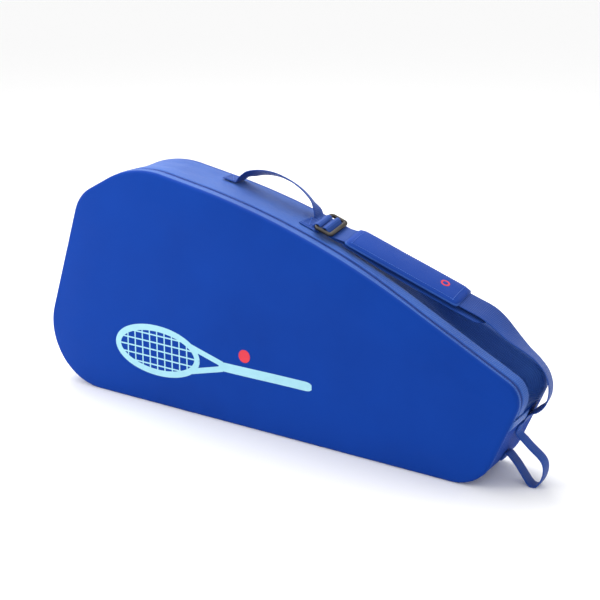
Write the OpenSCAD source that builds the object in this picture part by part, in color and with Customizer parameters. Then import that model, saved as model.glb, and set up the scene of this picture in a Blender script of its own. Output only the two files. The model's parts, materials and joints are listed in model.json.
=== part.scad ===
// Three-racket tournament bag: two padded side panels joined by a gusset, with a
// zipped front panel that folds down, a carry handle, a padded shoulder strap and
// a hang loop. Millimetres. +X points to the handle end, -Y to the front, +Z up.
// The origin is the centre of the flat base.

/* [Bag] */
// Length from the head end to the handle end
bag_length = 740; // [710:5:770]
// Height of the shoulder above the base
bag_height = 335; // [320:5:350]
// Thickness between the two panel seams
seam_gap = 90; // [84:2:96]
// How far each panel bulges beyond its seam
panel_rise = 9; // [6:0.5:10]
// Distance over which a panel rises from its seam
rise_run = 25; // [20:1:26]

/* [Fabric layers] */
// Thickness of the outer fabric
fabric = 1.2; // [0.8:0.1:1.4]
// Thickness of the foam in the side panels
foam = 3.6; // [3:0.2:4]
// Thickness of the lining
lining = 0.8; // [0.5:0.1:1]
// Depth of the hollow in the gusset at the handle end
gusset_sag = 20; // [12:1:22]

/* [Zip] */
// Width of the front strip, from the panel seam to the zip
strip_width = 15; // [12:1:18]
// Width of the front strip at the handle end
strip_width_tail = 9; // [8:0.5:12]
// Height of the zip's end at the handle end
zip_end_handle = 96; // [92:1:100]
// Height of the zip's end at the head end
zip_end_head = 20; // [16:1:26]
// Width of one row of zip coil
coil_width = 2.8; // [2.4:0.1:3.2]
// Width of the zip tape on each side
tape_width = 9; // [8:0.5:10]

/* [Carry handle and hang loop] */
// Width of the handle webbing
handle_width = 25; // [20:1:28]
// Clear height of the handle above the gusset
handle_height = 32; // [26:1:36]
// Width of the hang-loop webbing
loop_width = 18; // [15:1:20]

/* [Shoulder strap] */
// Width of the strap webbing
strap_width = 38; // [34:1:40]
// Thickness of the webbing
webbing = 2; // [1.4:0.1:2]
// Length of the strap pad
pad_length = 165; // [140:5:170]
// Width of the strap pad
pad_width = 44; // [42:1:48]
// Length of the slide buckle across the strap
buckle_length = 50; // [48:1:54]
// Width of the slide buckle along the strap
buckle_width = 27; // [25:1:28]

/* [Hidden] */

cloth_blue = [0.08, 0.24, 0.62];
lining_blue = [0.05, 0.14, 0.36];
webbing_blue = [0.12, 0.30, 0.70];
print_aqua = [0.60, 0.83, 0.88];
print_red = [0.86, 0.18, 0.25];
metal_bronze = [0.36, 0.33, 0.29];
foam_grey = [0.25, 0.26, 0.30];

half_gap = seam_gap / 2;
gap = 0.2;

// ---- The bag's outline: corner points [x, z, radius], turning one way ----
CORNERS = [
    [0.438 * bag_length, 0, 56],
    [0.510 * bag_length, 0.400 * bag_height, 28],
    [0.093 * bag_length, 0.875 * bag_height, 1150],
    [-0.277 * bag_length, 1.020 * bag_height, 140],
    [-0.410 * bag_length, 0.857 * bag_height, 60],
    [-0.540 * bag_length, 0, 85]
];

function unit(v) = v / norm(v);
function flat(lists) = [for (l = lists) each l];
function xz(p) = [p[0], p[1]];
function corner(i) = CORNERS[(i + len(CORNERS)) % len(CORNERS)];
function to_previous(i) = unit(xz(corner(i - 1)) - xz(corner(i)));
function to_next(i) = unit(xz(corner(i + 1)) - xz(corner(i)));
function half_angle(i) = acos(to_previous(i) * to_next(i)) / 2;
function arc_centre(i) =
    xz(corner(i)) + unit(to_previous(i) + to_next(i)) * corner(i)[2] / sin(half_angle(i));
function arc_turn(i) = 180 - 2 * half_angle(i);
function arc_start(i) =
    i == 0 ? atan2(to_previous(0)[0], -to_previous(0)[1]) : arc_start(i - 1) + arc_turn(i - 1);

// A station is [x, z, angle of the outward normal]
function arc_stations(i) =
    let (turn = arc_turn(i), r = corner(i)[2])
    let (steps = max(ceil(turn / 9), ceil(turn * PI * r / 180 / 30)))
    [for (k = [0:steps])
        let (a = arc_start(i) + turn * k / steps)
        [arc_centre(i)[0] + r * cos(a), arc_centre(i)[1] + r * sin(a), a]];
function side_stations(i) =
    let (facing = arc_start(i) + arc_turn(i), out = [cos(facing), sin(facing)])
    let (a = arc_centre(i) + corner(i)[2] * out)
    let (b = arc_centre(i + 1) + corner(i + 1)[2] * out)
    let (steps = max(1, ceil(norm(b - a) / 45)))
    [for (k = [1:1:steps - 1]) [each a + (b - a) * k / steps, facing]];
RING = flat([for (i = [0:len(CORNERS) - 1]) concat(arc_stations(i), side_stations(i))]);

// Distance along the outline to each station, and the station at any distance
RUN = [for (i = 0, s = 0; i <= len(RING);
        s = s + norm(xz(RING[(i + 1) % len(RING)]) - xz(RING[i % len(RING)])), i = i + 1) s];
lap = RUN[len(RING)];
X_AT = [for (i = [0:len(RING)]) [RUN[i], RING[i % len(RING)][0]]];
Z_AT = [for (i = [0:len(RING)]) [RUN[i], RING[i % len(RING)][1]]];
A_AT = [for (i = [0:len(RING)]) [RUN[i], RING[i % len(RING)][2] + (i == len(RING) ? 360 : 0)]];
function wrap(s) = s > lap ? s - lap : s < 0 ? s + lap : s;
function station(s) =
    let (w = wrap(s)) [lookup(w, X_AT), lookup(w, Z_AT), lookup(w, A_AT)];
function band(from, to) = [
    station(from),
    for (turn = [0:1], i = [0:len(RING) - 1])
        if (RUN[i] + turn * lap > from + 0.5 && RUN[i] + turn * lap < to - 0.5)
            station(RUN[i]),
    station(to)
];
// Where the outline passes a height at the handle end or the head end, or a
// position along the top
side_up = [for (i = [0:len(RING) - 1]) if (RING[i][2] < 0.5 && RING[i][0] > 0) [RING[i][1], RUN[i]]];
side_down = [for (i = [0:len(RING) - 1])
    if (RING[i][2] > 150 && RING[i][0] < 0) [RING[i][1], RUN[i]]];
top_run = [for (i = [0:len(RING) - 1])
    if (RING[i][2] > 5 && RING[i][2] < 165) [RING[i][0], RUN[i]]];
s_handle = lookup(zip_end_handle, side_up);
s_head = lookup(zip_end_head, side_down);
function top_s(x) = lookup(x, top_run);

// A point held off the outline: s along it, y across, h outwards
function off(s, y, h) =
    let (p = station(s)) [p[0] + h * cos(p[2]), y, p[1] + h * sin(p[2])];

// ---- Closed shells built from rings of points ----
// rows: open strip of rings; each ring lists its outer points, then its inner
// points in the same order, so that the two ends close with plain quads.
function strip_faces(n, k) =
    let (m = 2 * k)
    let (around = [for (j = [0:k - 1]) j], back = [for (j = [0:k - 1]) 2 * k - 1 - j])
    let (order = concat(around, back))
    concat(
        [for (i = [0:n - 2], j = [0:m - 1])
            let (a = i * m + order[j], b = i * m + order[(j + 1) % m])
            each [[a, a + m, b + m], [a, b + m, b]]],
        [for (j = [0:k - 2]) each [[j, j + 1, k + j + 1], [j, k + j + 1, k + j]]],
        [for (j = [0:k - 2])
            let (z = (n - 1) * m)
            each [[z + j, z + k + j + 1, z + j + 1], [z + j, z + k + j, z + k + j + 1]]]
    );
module strip_solid(rows) {
    k = len(rows[0]) / 2;
    polyhedron(points = flat(rows), faces = strip_faces(len(rows), k));
}
// rings: closed loops of equal length, from one flat end to the other; each end
// closes on a middle point
module loft_solid(rings, turn_over) {
    m = len(rings[0]);
    n = len(rings);
    middle = [0, bag_height * 0.5];
    ends = [[middle[0], rings[0][0][1], middle[1]], [middle[0], rings[n - 1][0][1], middle[1]]];
    faces = [
        for (i = [0:n - 2], j = [0:m - 1])
            let (a = i * m + j, b = i * m + (j + 1) % m)
            each [[a, b, b + m], [a, b + m, a + m]],
        for (j = [0:m - 1]) [(j + 1) % m, j, n * m],
        for (j = [0:m - 1]) [(n - 1) * m + j, (n - 1) * m + (j + 1) % m, n * m + 1]
    ];
    polyhedron(
        points = concat(flat(rings), ends),
        faces = [for (f = faces) turn_over ? [f[2], f[1], f[0]] : f]
    );
}

// ---- Side panels ----
function rise(d) = panel_rise * (1 - pow(1 - min(d, rise_run) / rise_run, 2));
function ring_at(inset, y) = [for (p = RING) [p[0] - inset * cos(p[2]), y, p[1] - inset * sin(p[2])]];
// One layer of a panel, from depth a to depth b below its face; side is -1 or 1
module panel_layer(side, edge, a, b) {
    insets = [edge, edge + 3, 11, rise_run];
    outer = [for (k = [3:-1:0]) ring_at(insets[k], side * (half_gap + rise(insets[k]) - a))];
    inner = [for (k = [0:3]) ring_at(insets[k], side * (half_gap + rise(insets[k]) - b))];
    loft_solid(concat(outer, inner), side > 0);
}
// Half-space above (or below) the fold that joins the zip's two ends
fold_a = xz(station(s_head));
fold_b = xz(station(s_handle));
fold_tilt = atan2(fold_b[1] - fold_a[1], fold_b[0] - fold_a[0]);
module above_fold(lift) {
    translate([fold_a[0], 0, fold_a[1]]) rotate([0, -fold_tilt, 0])
        translate([-60, -100, lift]) cube([bag_length + 100, 200, bag_height + 80]);
}
module front_upper(edge, a, b) {
    intersection() {
        panel_layer(-1, edge, a, b);
        above_fold(gap);
    }
}
module front_lower(edge, a, b) {
    difference() {
        panel_layer(-1, edge, a, b);
        above_fold(-gap);
    }
}
foam_top = fabric + gap;
foam_bottom = foam_top + foam;
lining_top = foam_bottom + gap;
lining_bottom = lining_top + lining;

module back_panel() { color(cloth_blue) panel_layer(1, 0, 0, fabric); }
module back_foam() { color(foam_grey) panel_layer(1, 3, foam_top, foam_bottom); }
module back_lining() { color(lining_blue) panel_layer(1, 3.4, lining_top, lining_bottom); }
module front_panel() { color(cloth_blue) front_upper(0, 0, fabric); }
module front_foam() { color(foam_grey) front_upper(3, foam_top, foam_bottom); }
module front_lining() { color(lining_blue) front_upper(3.4, lining_top, lining_bottom); }
module front_panel_lower() { color(cloth_blue) front_lower(0, 0, fabric); }
module front_foam_lower() { color(foam_grey) front_lower(3, foam_top, foam_bottom); }
module front_lining_lower() { color(lining_blue) front_lower(3.4, lining_top, lining_bottom); }

// ---- Bands that follow the outline ----
// Distance of the zip behind the front seam, narrowing towards the handle end
tail_run = top_s(0.24 * bag_length) - s_handle;
function blend(t) = let (c = min(1, max(0, t))) c * c * (3 - 2 * c);
function zip_y(s) =
    -half_gap + strip_width_tail
    + (strip_width - strip_width_tail) * blend((s - s_handle - 0.7 * tail_run) / (0.6 * tail_run));
// A thin band between two y edges, at a depth below the outline
module flat_band(from, to, y0, y1, depth, thick) {
    strip_solid([for (p = band(from, to)) concat(
        [for (y = [y0, y1]) [p[0] - depth * cos(p[2]), y, p[1] - depth * sin(p[2])]],
        [for (y = [y0, y1])
            [p[0] - (depth + thick) * cos(p[2]), y, p[1] - (depth + thick) * sin(p[2])]]
    )]);
}
function runs(from, to) = concat(
    [from],
    [for (i = [0:len(RING) - 1]) if (RUN[i] > from + 0.5 && RUN[i] < to - 0.5) RUN[i]],
    [to]
);
// The same beside the zip, which wanders; a and b are measured from its line
module zip_band(a, b, depth, thick, from, to) {
    strip_solid([for (s = runs(from, to))
        let (y0 = max(-edge_y, zip_y(s) + a), y1 = zip_y(s) + b)
        concat([off(s, y0, -depth), off(s, y1, -depth)],
            [off(s, y0, -depth - thick), off(s, y1, -depth - thick)])]);
}
edge_y = half_gap - fabric - gap;
zip_from = s_handle + 1.5;
zip_to = s_head - 1.5;
module front_strip() {
    color(cloth_blue) zip_band(-100, -coil_width - 0.6, 0, fabric, zip_from, zip_to);
}
module zip_tape_front() {
    color(webbing_blue)
        zip_band(-tape_width, -coil_width - 0.6, fabric + gap, 0.6, zip_from, zip_to);
}
module zip_coil_front() {
    color(webbing_blue) zip_band(-coil_width - 0.3, -0.3, 0.5, 1.5, zip_from, zip_to);
}
module zip_coil_back() {
    color(webbing_blue) zip_band(0.3, coil_width + 0.3, 0.5, 1.5, s_handle, s_head);
}
module zip_tape_back() {
    color(webbing_blue)
        zip_band(coil_width + 0.6, tape_width, fabric + gap + 0.7, 0.6, s_handle, s_head);
}
module zip_stops() {
    color(metal_bronze) for (s = [s_handle - 5, s_head + 5]) {
        p = off(s, zip_y(s), 0.2);
        translate(p) rotate([0, 90 - station(s)[2], 0])
            translate([-2, -coil_width, 0]) cube([4, 2 * coil_width, 1.2]);
    }
}

// Gusset: ridge beside the zip, a hollow that deepens to the handle end, and a
// ridge beside the back seam
hollow_y = [-14, 2, 18, 32];
hollow_fade = top_s(0.14 * bag_length) - s_handle;
function sag(s) =
    1.2 + (gusset_sag - 1.2) * blend((hollow_fade - s + s_handle) / (0.62 * hollow_fade))
    * (0.55 + 0.45 * blend((s - s_handle) / 30));
function gusset_profile(s, y0) = [
    [y0, 0], [hollow_y[0], 0.06 * sag(s)], [hollow_y[0] + 6, 0.72 * sag(s)],
    [hollow_y[1], sag(s)], [hollow_y[2], sag(s)],
    [hollow_y[3] - 6, 0.72 * sag(s)], [hollow_y[3], 0.06 * sag(s)], [edge_y, 0]
];
module gusset_layer(depth, thick, trim) {
    strip_solid([for (s = runs(s_handle, s_head))
        let (outer = gusset_profile(s, zip_y(s) + coil_width + 0.6 + trim))
        concat([for (q = outer) off(s, min(q[0], edge_y - trim), -depth - q[1])],
            [for (q = outer) off(s, min(q[0], edge_y - trim), -depth - thick - q[1])])]);
}
module main_gusset() { color(cloth_blue) gusset_layer(0, fabric, 0); }
module gusset_lining() { color(lining_blue) gusset_layer(fabric + 1, lining, 8); }

module base_gusset() {
    color(cloth_blue) flat_band(s_head + gap, s_handle + lap - gap, -edge_y, edge_y, 0, fabric);
}
module base_lining() {
    color(lining_blue) flat_band(s_head + gap, s_handle + lap - gap, -edge_y + 2, edge_y - 2,
        fabric + 3.4, lining);
}
module base_board() {
    color(foam_grey) translate([-0.375 * bag_length, -edge_y + 3, fabric + gap])
        cube([0.745 * bag_length, 2 * edge_y - 6, 2.8]);
}

// Binding tapes over the inner seam allowances
module binding(side, from, to) {
    y = side * (half_gap - lining_bottom - 1.8);
    flat_band(from, to, min(y, y - side * 4), max(y, y - side * 4), fabric + 5, 1.2);
}
module back_binding() { color(lining_blue) binding(1, s_handle + 1, s_handle + lap - 1); }
module front_binding() { color(lining_blue) binding(-1, zip_from + 2, zip_to - 2); }
module front_binding_lower() {
    color(lining_blue) binding(-1, s_head + gap, s_handle + lap - gap);
}

// ---- Print on the front panel: a plain racket and ball ----
print_y = -half_gap - panel_rise;
head_c = [-166, 84];
head_r = [74, 37];
module racket_shape() {
    difference() {
        scale_circle(head_r[0], head_r[1]);
        scale_circle(head_r[0] - 9, head_r[1] - 9);
    }
    intersection() {
        scale_circle(head_r[0] - 8, head_r[1] - 8);
        union() {
            for (k = [-4:4]) translate([k * 13 - 1, -40]) square([2, 80]);
            for (k = [-2:2]) translate([-80, k * 11 - 1]) square([160, 2]);
        }
    }
    polygon([[56, -24], [110, -5], [110, 5], [56, 24], [64, 14], [88, 0], [64, -14]]);
    translate([108, -6.5]) square([145, 13]);
}
module scale_circle(rx, rz) {
    polygon([for (k = [0:47]) [rx * cos(k * 7.5), rz * sin(k * 7.5)]]);
}
module panel_print() {
    color(print_aqua) translate([head_c[0], print_y - 0.05, head_c[1]]) rotate([90, 0, 0])
        linear_extrude(0.4) racket_shape();
}
module panel_print_ball() {
    color(print_red) translate([-18, print_y - 0.05, 106]) rotate([90, 0, 0])
        cylinder(h = 0.4, r = 9, $fn = 48);
}

// ---- Zip sliders and pulls ----
// Drawn with the zip running along X, the outside up, then placed on the outline
pin_r = 0.9;
pull_gap = 0.08;
crown_h = 5.2;
module slider_body() {
    color(metal_bronze) difference() {
        union() {
            translate([-7.5, -4.4, 0.6]) cube([15, 8.8, 1.6]);
            for (y = [-3.2, 2.0]) translate([-3.2, y, 2.2]) cube([6.4, 1.2, crown_h - 0.9]);
        }
        translate([0, -5, crown_h]) rotate([-90, 0, 0]) cylinder(h = 10, r = pin_r, $fn = 24);
    }
    color(metal_bronze) translate([0, -3.2, crown_h]) rotate([-90, 0, 0])
        cylinder(h = 6.4, r = pin_r, $fn = 24);
}
module slider_pull() {
    color(webbing_blue) {
        difference() {
            union() {
                translate([0, -1.7, crown_h]) rotate([-90, 0, 0]) cylinder(h = 3.4, r = 1.9, $fn = 24);
                translate([0, -1.7, crown_h - 1.2]) cube([9, 3.4, 2.4]);
            }
            translate([0, -5, crown_h]) rotate([-90, 0, 0])
                cylinder(h = 10, r = pin_r + pull_gap, $fn = 24);
        }
        translate([8.5, -4.5, crown_h - 1.2]) cube([26, 9, 2.4]);
    }
}
module on_outline(s) {
    translate(off(s, zip_y(s), 0)) rotate([0, 90 - station(s)[2], 0]) children();
}
// The upper slider is parked on the shoulder's curve, the lower one on the side
shoulder = 4;
shoulder_run = [for (i = [0:len(RING) - 1])
    if (abs(RING[i][2] - arc_start(shoulder) - arc_turn(shoulder) / 2) < arc_turn(shoulder) / 2 + 1)
        [RING[i][2], RUN[i]]];
s_upper = lookup(arc_start(shoulder) + arc_turn(shoulder) - 4, shoulder_run);
s_lower = s_upper + 46;
module zip_slider_upper() { on_outline(s_upper) mirror([1, 0, 0]) slider_body(); }
module zip_pull_upper() { on_outline(s_upper) mirror([1, 0, 0]) slider_pull(); }
module zip_slider_lower() { on_outline(s_lower) mirror([1, 0, 0]) slider_body(); }
module zip_pull_lower() { on_outline(s_lower) mirror([1, 0, 0]) slider_pull(); }

// ---- Webbing ----
// Ribbon along a path of [point, width, roll]; it lies across Y and rolls about
// its own run
function run_dir(path, i) =
    unit(path[min(i + 1, len(path) - 1)][0] - path[max(i - 1, 0)][0]);
function ribbon_row(path, i, thick) =
    let (t = run_dir(path, i), c = path[i][0], w = path[i][1] / 2, roll = path[i][2])
    let (across0 = unit([0, 1, 0] - ([0, 1, 0] * t) * t))
    let (up0 = cross(across0, t))
    let (across = across0 * cos(roll) - up0 * sin(roll))
    let (up = up0 * cos(roll) + across0 * sin(roll))
    [c - across * w + up * thick / 2, c + across * w + up * thick / 2,
        c - across * w - up * thick / 2, c + across * w - up * thick / 2];
module ribbon(path, thick) {
    strip_solid([for (i = [0:len(path) - 1]) ribbon_row(path, i, thick)]);
}

// Carry handle: the free part between its two sewn ends
handle_y = 28;
handle_x = [-78, 46];
handle_s = [top_s(handle_x[1]), top_s(handle_x[0])];
function handle_point(t) =
    let (s = handle_s[0] + (handle_s[1] - handle_s[0]) * (t - 0.12 * sin(360 * t) / (2 * PI)))
    [off(s, handle_y, 3.6 + (handle_height - 3.6) * pow(sin(180 * t), 0.75)),
        min(handle_width, 6 + 2.1 * (handle_height - 3.6) * pow(sin(180 * t), 0.75)), 0];
module grab_handle() {
    color(webbing_blue) ribbon([for (k = [0:24]) handle_point(k / 24)], webbing);
}
module webbing_tab(s, y, width, run) {
    ribbon([for (k = [-1:1]) [off(s + k * run / 2, y, 0.2 + webbing / 2), width, 0]], webbing);
}
module handle_ends() {
    color(webbing_blue) for (k = [0, 1])
        webbing_tab(handle_s[k] + (k == 0 ? -12 : 12), handle_y, handle_width - 6, 20);
}

// Hang loop below the handle end
loop_s = [s_handle - 62, s_handle - 31];
loop_y = 0;
loop_reach = 60;
loop_lean = -45;
function loop_point(t) =
    let (foot_a = off(loop_s[0], loop_y, 4), foot_b = off(loop_s[1], loop_y, 4))
    let (a = 180 * t, middle = (foot_a + foot_b) / 2, half_span = (foot_b - foot_a) / 2)
    let (out = [cos(loop_lean), 0, sin(loop_lean)])
    [middle - half_span * cos(a) * (1 + 0.55 * pow(sin(a), 2))
        + out * loop_reach * pow(sin(a), 0.85),
        min(loop_width, 5 + 1.6 * loop_reach * sin(a)), 0];
module hang_loop() {
    color(webbing_blue) ribbon([for (k = [0:24]) loop_point(k / 24)], webbing);
}
module loop_ends() {
    color(webbing_blue) for (k = [0, 1])
        webbing_tab(loop_s[k] + (k == 0 ? -7.5 : 7.5), loop_y, loop_width, 11);
}

// Shoulder strap: a straight run from the buckle past the pad, then over the
// handle end's corner to the sewn end
run_a = [81, 2, 288];
run_b = [273, 22, 211];
run_unit = unit(run_b - run_a);
run_slope = atan2(-run_unit[2], run_unit[0]);
run_drift = asin(run_unit[1]);
run_roll = 6;
function on_run(d) = run_a + run_unit * d;
run_length = norm(run_b - run_a);
module on_strap(d) {
    translate(on_run(d)) rotate([0, run_slope, 0]) rotate([0, 0, run_drift])
        rotate([run_roll, 0, 0]) children();
}
// Points past the straight run: [distance above the zip's end, y, height, width, roll]
TAIL = [
    [92, 23, 17, strap_width, 3],
    [72, 24, 14, strap_width, 0],
    [54, 24, 12, strap_width, 0],
    [40, 24, 11.5, strap_width, 0],
    [26, 23, 12, strap_width, 0],
    [12, 22, 13.5, strap_width, 0],
    [2, 21, 13.5, 34, 0],
    [-5, 20, 10, 26, 0]
];
module strap_webbing() {
    straight = [for (d = [24.5, 60, 110, 160, run_length, run_length + 24])
        [on_run(d), strap_width, run_roll]];
    tail = [for (p = TAIL) [off(s_handle + p[0], p[1], p[2]), p[3], p[4]]];
    color(webbing_blue) ribbon(concat(straight, tail), webbing);
}
module stowed_webbing() {
    color(webbing_blue) on_strap(0) {
        translate([16, -strap_width / 2 - 3, -4.6]) cube([run_length - 8, strap_width, 1.2]);
        translate([run_length + 8, -3, -4.6]) cylinder(h = 1.2, r = strap_width / 2, $fn = 48);
    }
}
pad_start = 32;
module pad_box(low, high, inset) {
    translate([pad_start + inset, -pad_width / 2 + inset, low])
        cube([pad_length - 2 * inset, pad_width - 2 * inset, high - low]);
}
module strap_pad_cover() {
    color(cloth_blue) on_strap(0) difference() {
        pad_box(-2.6, 7.2, 0);
        pad_box(-2.7, 6, fabric);
        translate([0, -strap_width / 2 - 0.6, -1.4]) cube([pad_start + pad_length + 5,
            strap_width + 1.2, 2.8]);
    }
}
module strap_pad_foam() { color(foam_grey) on_strap(0) pad_box(1.5, 5.9, fabric + 0.1); }
module strap_pad_underside() { color(lining_blue) on_strap(0) pad_box(-2.5, -1.5, fabric + 0.1); }
module pad_mark() {
    color(print_red) on_strap(0) translate([pad_start + pad_length - 30, 0, 7.25])
        difference() {
            cylinder(h = 0.3, r = 6, $fn = 48);
            translate([0, 0, -1]) cylinder(h = 2, r = 3.6, $fn = 48);
        }
}
module rounded_bar(length, width, r, h) {
    linear_extrude(h) hull() for (x = [-1, 1], y = [-1, 1])
        translate([x * (width / 2 - r), y * (length / 2 - r)]) circle(r = r, $fn = 32);
}
module buckle_frame() {
    color(metal_bronze) on_strap(0) translate([0, 0, -1.6]) difference() {
        rounded_bar(buckle_length, buckle_width, 5, 3.2);
        translate([0, 0, -1])
            rounded_bar(buckle_length - 8, buckle_width - 7, 2.5, 6);
    }
}
bar_r = 1.8;
module buckle_bar() {
    color(metal_bronze) on_strap(0) translate([0, -buckle_length / 2 + 4, 0])
        rotate([-90, 0, 0]) cylinder(h = buckle_length - 8, r = bar_r, $fn = 32);
}
module buckle_webbing() {
    inner = bar_r + 0.1;
    outer = inner + webbing;
    color(webbing_blue) on_strap(0) translate([0, strap_width / 2, 0]) rotate([90, 0, 0])
        linear_extrude(strap_width) difference() {
            union() {
                circle(r = outer, $fn = 48);
                translate([-outer, -2.6]) square([2 * outer, 2.6]);
            }
            circle(r = inner, $fn = 48);
            translate([-inner, -5]) square([2 * inner, 5]);
        }
}
module strap_anchor_end() {
    color(webbing_blue) webbing_tab(s_handle - 11.5, 20, 30, 12);
}
module strap_anchor_mid() {
    color(webbing_blue) webbing_tab(top_s(62), 2, 30, 26);
}

back_panel();
back_foam();
back_lining();
back_binding();
front_panel_lower();
front_foam_lower();
front_lining_lower();
front_binding_lower();
main_gusset();
gusset_lining();
base_gusset();
base_lining();
base_board();
zip_tape_back();
zip_coil_back();
zip_stops();
handle_ends();
strap_anchor_end();
strap_anchor_mid();
loop_ends();
front_panel();
front_foam();
front_lining();
front_binding();
front_strip();
zip_tape_front();
zip_coil_front();
panel_print();
panel_print_ball();
zip_slider_upper();
zip_pull_upper();
zip_slider_lower();
zip_pull_lower();
grab_handle();
strap_webbing();
stowed_webbing();
strap_pad_cover();
strap_pad_foam();
strap_pad_underside();
pad_mark();
buckle_frame();
buckle_bar();
buckle_webbing();
hang_loop();
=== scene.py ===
# %% [markdown]
# # A three-racket tournament bag
#
# The bag is two padded fabric panels, sewn to a gusset that runs all the way round. A zip
# along the front of the gusset lets the front panel fold down. This script dresses the packed
# model in sewn fabric: every soft solid is replaced by a shell with seams, edges and weave,
# and the hard pieces get better meshes or finishes. Lengths are in metres, +X points to the
# handle end, -Y to the front and +Z up.

# %% Load the frame
import json
import math

import bmesh
import bpy
import numpy as np
from mathutils import Matrix, Vector, noise
from mathutils.bvhtree import BVHTree

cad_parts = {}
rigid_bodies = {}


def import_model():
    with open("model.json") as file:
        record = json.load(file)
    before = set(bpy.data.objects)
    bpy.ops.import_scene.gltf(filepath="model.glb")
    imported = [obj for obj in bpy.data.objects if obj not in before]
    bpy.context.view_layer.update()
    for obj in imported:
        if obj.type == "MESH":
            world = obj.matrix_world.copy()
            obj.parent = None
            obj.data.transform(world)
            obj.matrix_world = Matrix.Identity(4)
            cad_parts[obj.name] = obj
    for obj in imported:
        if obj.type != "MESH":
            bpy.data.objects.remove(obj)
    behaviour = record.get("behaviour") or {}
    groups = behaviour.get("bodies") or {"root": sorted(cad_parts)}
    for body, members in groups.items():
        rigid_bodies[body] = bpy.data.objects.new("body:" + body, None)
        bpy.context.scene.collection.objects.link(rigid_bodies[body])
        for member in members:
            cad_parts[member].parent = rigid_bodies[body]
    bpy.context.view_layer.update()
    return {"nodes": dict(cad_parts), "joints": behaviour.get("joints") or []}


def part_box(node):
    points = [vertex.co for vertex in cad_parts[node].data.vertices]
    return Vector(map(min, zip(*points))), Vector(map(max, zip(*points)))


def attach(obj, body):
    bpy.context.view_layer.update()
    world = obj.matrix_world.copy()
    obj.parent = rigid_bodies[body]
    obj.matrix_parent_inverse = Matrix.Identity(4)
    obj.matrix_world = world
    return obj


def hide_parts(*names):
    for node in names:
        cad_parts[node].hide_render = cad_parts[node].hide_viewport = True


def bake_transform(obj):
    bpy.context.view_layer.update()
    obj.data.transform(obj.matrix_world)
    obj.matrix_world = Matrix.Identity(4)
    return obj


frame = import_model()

MM = 0.001
panel_low, panel_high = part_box("back_panel")
print("back panel from", np.round(panel_low, 4), "to", np.round(panel_high, 4))

# %% [markdown]
# ## Camera
#
# A product shot from slightly above, looking past the handle end. A long lens keeps the far
# end of a 740 mm bag from shrinking. The camera's axes are worked out from an azimuth and an
# elevation, so that there is no roll.

# %% Camera
AZIMUTH = math.radians(32.5)
ELEVATION = math.radians(18.5)
CAMERA_PLACE = Vector((0.918, -1.386, 0.729))
LENS = 78.6


def make_camera():
    back = Vector((
        math.sin(AZIMUTH) * math.cos(ELEVATION),
        -math.cos(AZIMUTH) * math.cos(ELEVATION),
        math.sin(ELEVATION),
    ))
    right = Vector((math.cos(AZIMUTH), math.sin(AZIMUTH), 0))
    up = back.cross(right)
    data = bpy.data.cameras.new("camera")
    data.lens = LENS
    data.sensor_width = 36
    data.clip_end = 30
    camera = bpy.data.objects.new("camera", data)
    turn = Matrix((right, up, back)).transposed().to_4x4()
    camera.matrix_world = Matrix.Translation(CAMERA_PLACE) @ turn
    bpy.context.scene.collection.objects.link(camera)
    bpy.context.scene.camera = camera


make_camera()
print("camera at", tuple(CAMERA_PLACE))

# %% [markdown]
# ## Light and floor
#
# Soft light from above makes the gusset pale and leaves the front panel deep blue, as a large
# overhead softbox does in a studio. A weaker light from the front left shades the front panel
# from head to handle. The floor is pale and plain, and isn't part of the object.

# %% Light and floor
def area_light(name, place, aim, size, watts):
    data = bpy.data.lights.new(name, "AREA")
    data.size = size
    data.energy = watts
    light = bpy.data.objects.new(name, data)
    light.location = place
    direction = Vector(aim) - Vector(place)
    light.rotation_euler = direction.to_track_quat("-Z", "Y").to_euler()
    bpy.context.scene.collection.objects.link(light)


def make_studio():
    area_light("overhead", (-0.6, 0.4, 1.5), (-0.2, 0, 0.25), 1.3, 24)
    area_light("front_left", (-1.0, -1.1, 0.8), (-0.3, 0, 0.2), 0.9, 9)
    world = bpy.data.worlds.new("studio")
    world.use_nodes = True
    background = world.node_tree.nodes["Background"]
    background.inputs["Color"].default_value = (1, 1, 1, 1)
    background.inputs["Strength"].default_value = 1.0
    bpy.context.scene.world = world
    bpy.context.scene.view_settings.view_transform = "Standard"


def make_floor(reach=9):
    mesh = bpy.data.meshes.new("floor")
    mesh.from_pydata(
        [(-reach, -reach, 0), (reach, -reach, 0), (reach, reach, 0), (-reach, reach, 0)],
        [], [(0, 1, 2, 3)],
    )
    floor = bpy.data.objects.new("floor", mesh)
    bpy.context.scene.collection.objects.link(floor)
    material = bpy.data.materials.new("floor_paper")
    material.use_nodes = True
    shader = material.node_tree.nodes["Principled BSDF"]
    shader.inputs["Base Color"].default_value = (0.95, 0.95, 0.95, 1)
    shader.inputs["Roughness"].default_value = 0.9
    mesh.materials.append(material)


make_studio()
make_floor()

# %% [markdown]
# ## The outline
#
# Everything follows one closed outline in the X-Z plane: six corner points, each rounded by
# its own radius and joined by straight sides. Working from the same corners as the solid
# model puts each seam exactly where the solids have it. The outline is kept as a table of
# place, facing angle and distance run, so that any piece can be laid along it by distance.

# %% The outline
LENGTH = 740 * MM
HEIGHT = 335 * MM
HALF_GAP = 45 * MM
CORNERS = [
    (0.438 * LENGTH, 0, 56 * MM),
    (0.510 * LENGTH, 0.400 * HEIGHT, 28 * MM),
    (0.093 * LENGTH, 0.875 * HEIGHT, 1150 * MM),
    (-0.277 * LENGTH, 1.020 * HEIGHT, 140 * MM),
    (-0.410 * LENGTH, 0.857 * HEIGHT, 60 * MM),
    (-0.540 * LENGTH, 0, 85 * MM),
]


def unit(v):
    return np.asarray(v, float) / np.linalg.norm(v)


def hops(points):
    """Length of each step between neighbouring points."""
    return np.linalg.norm(np.diff(points, axis=0), axis=1)


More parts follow.
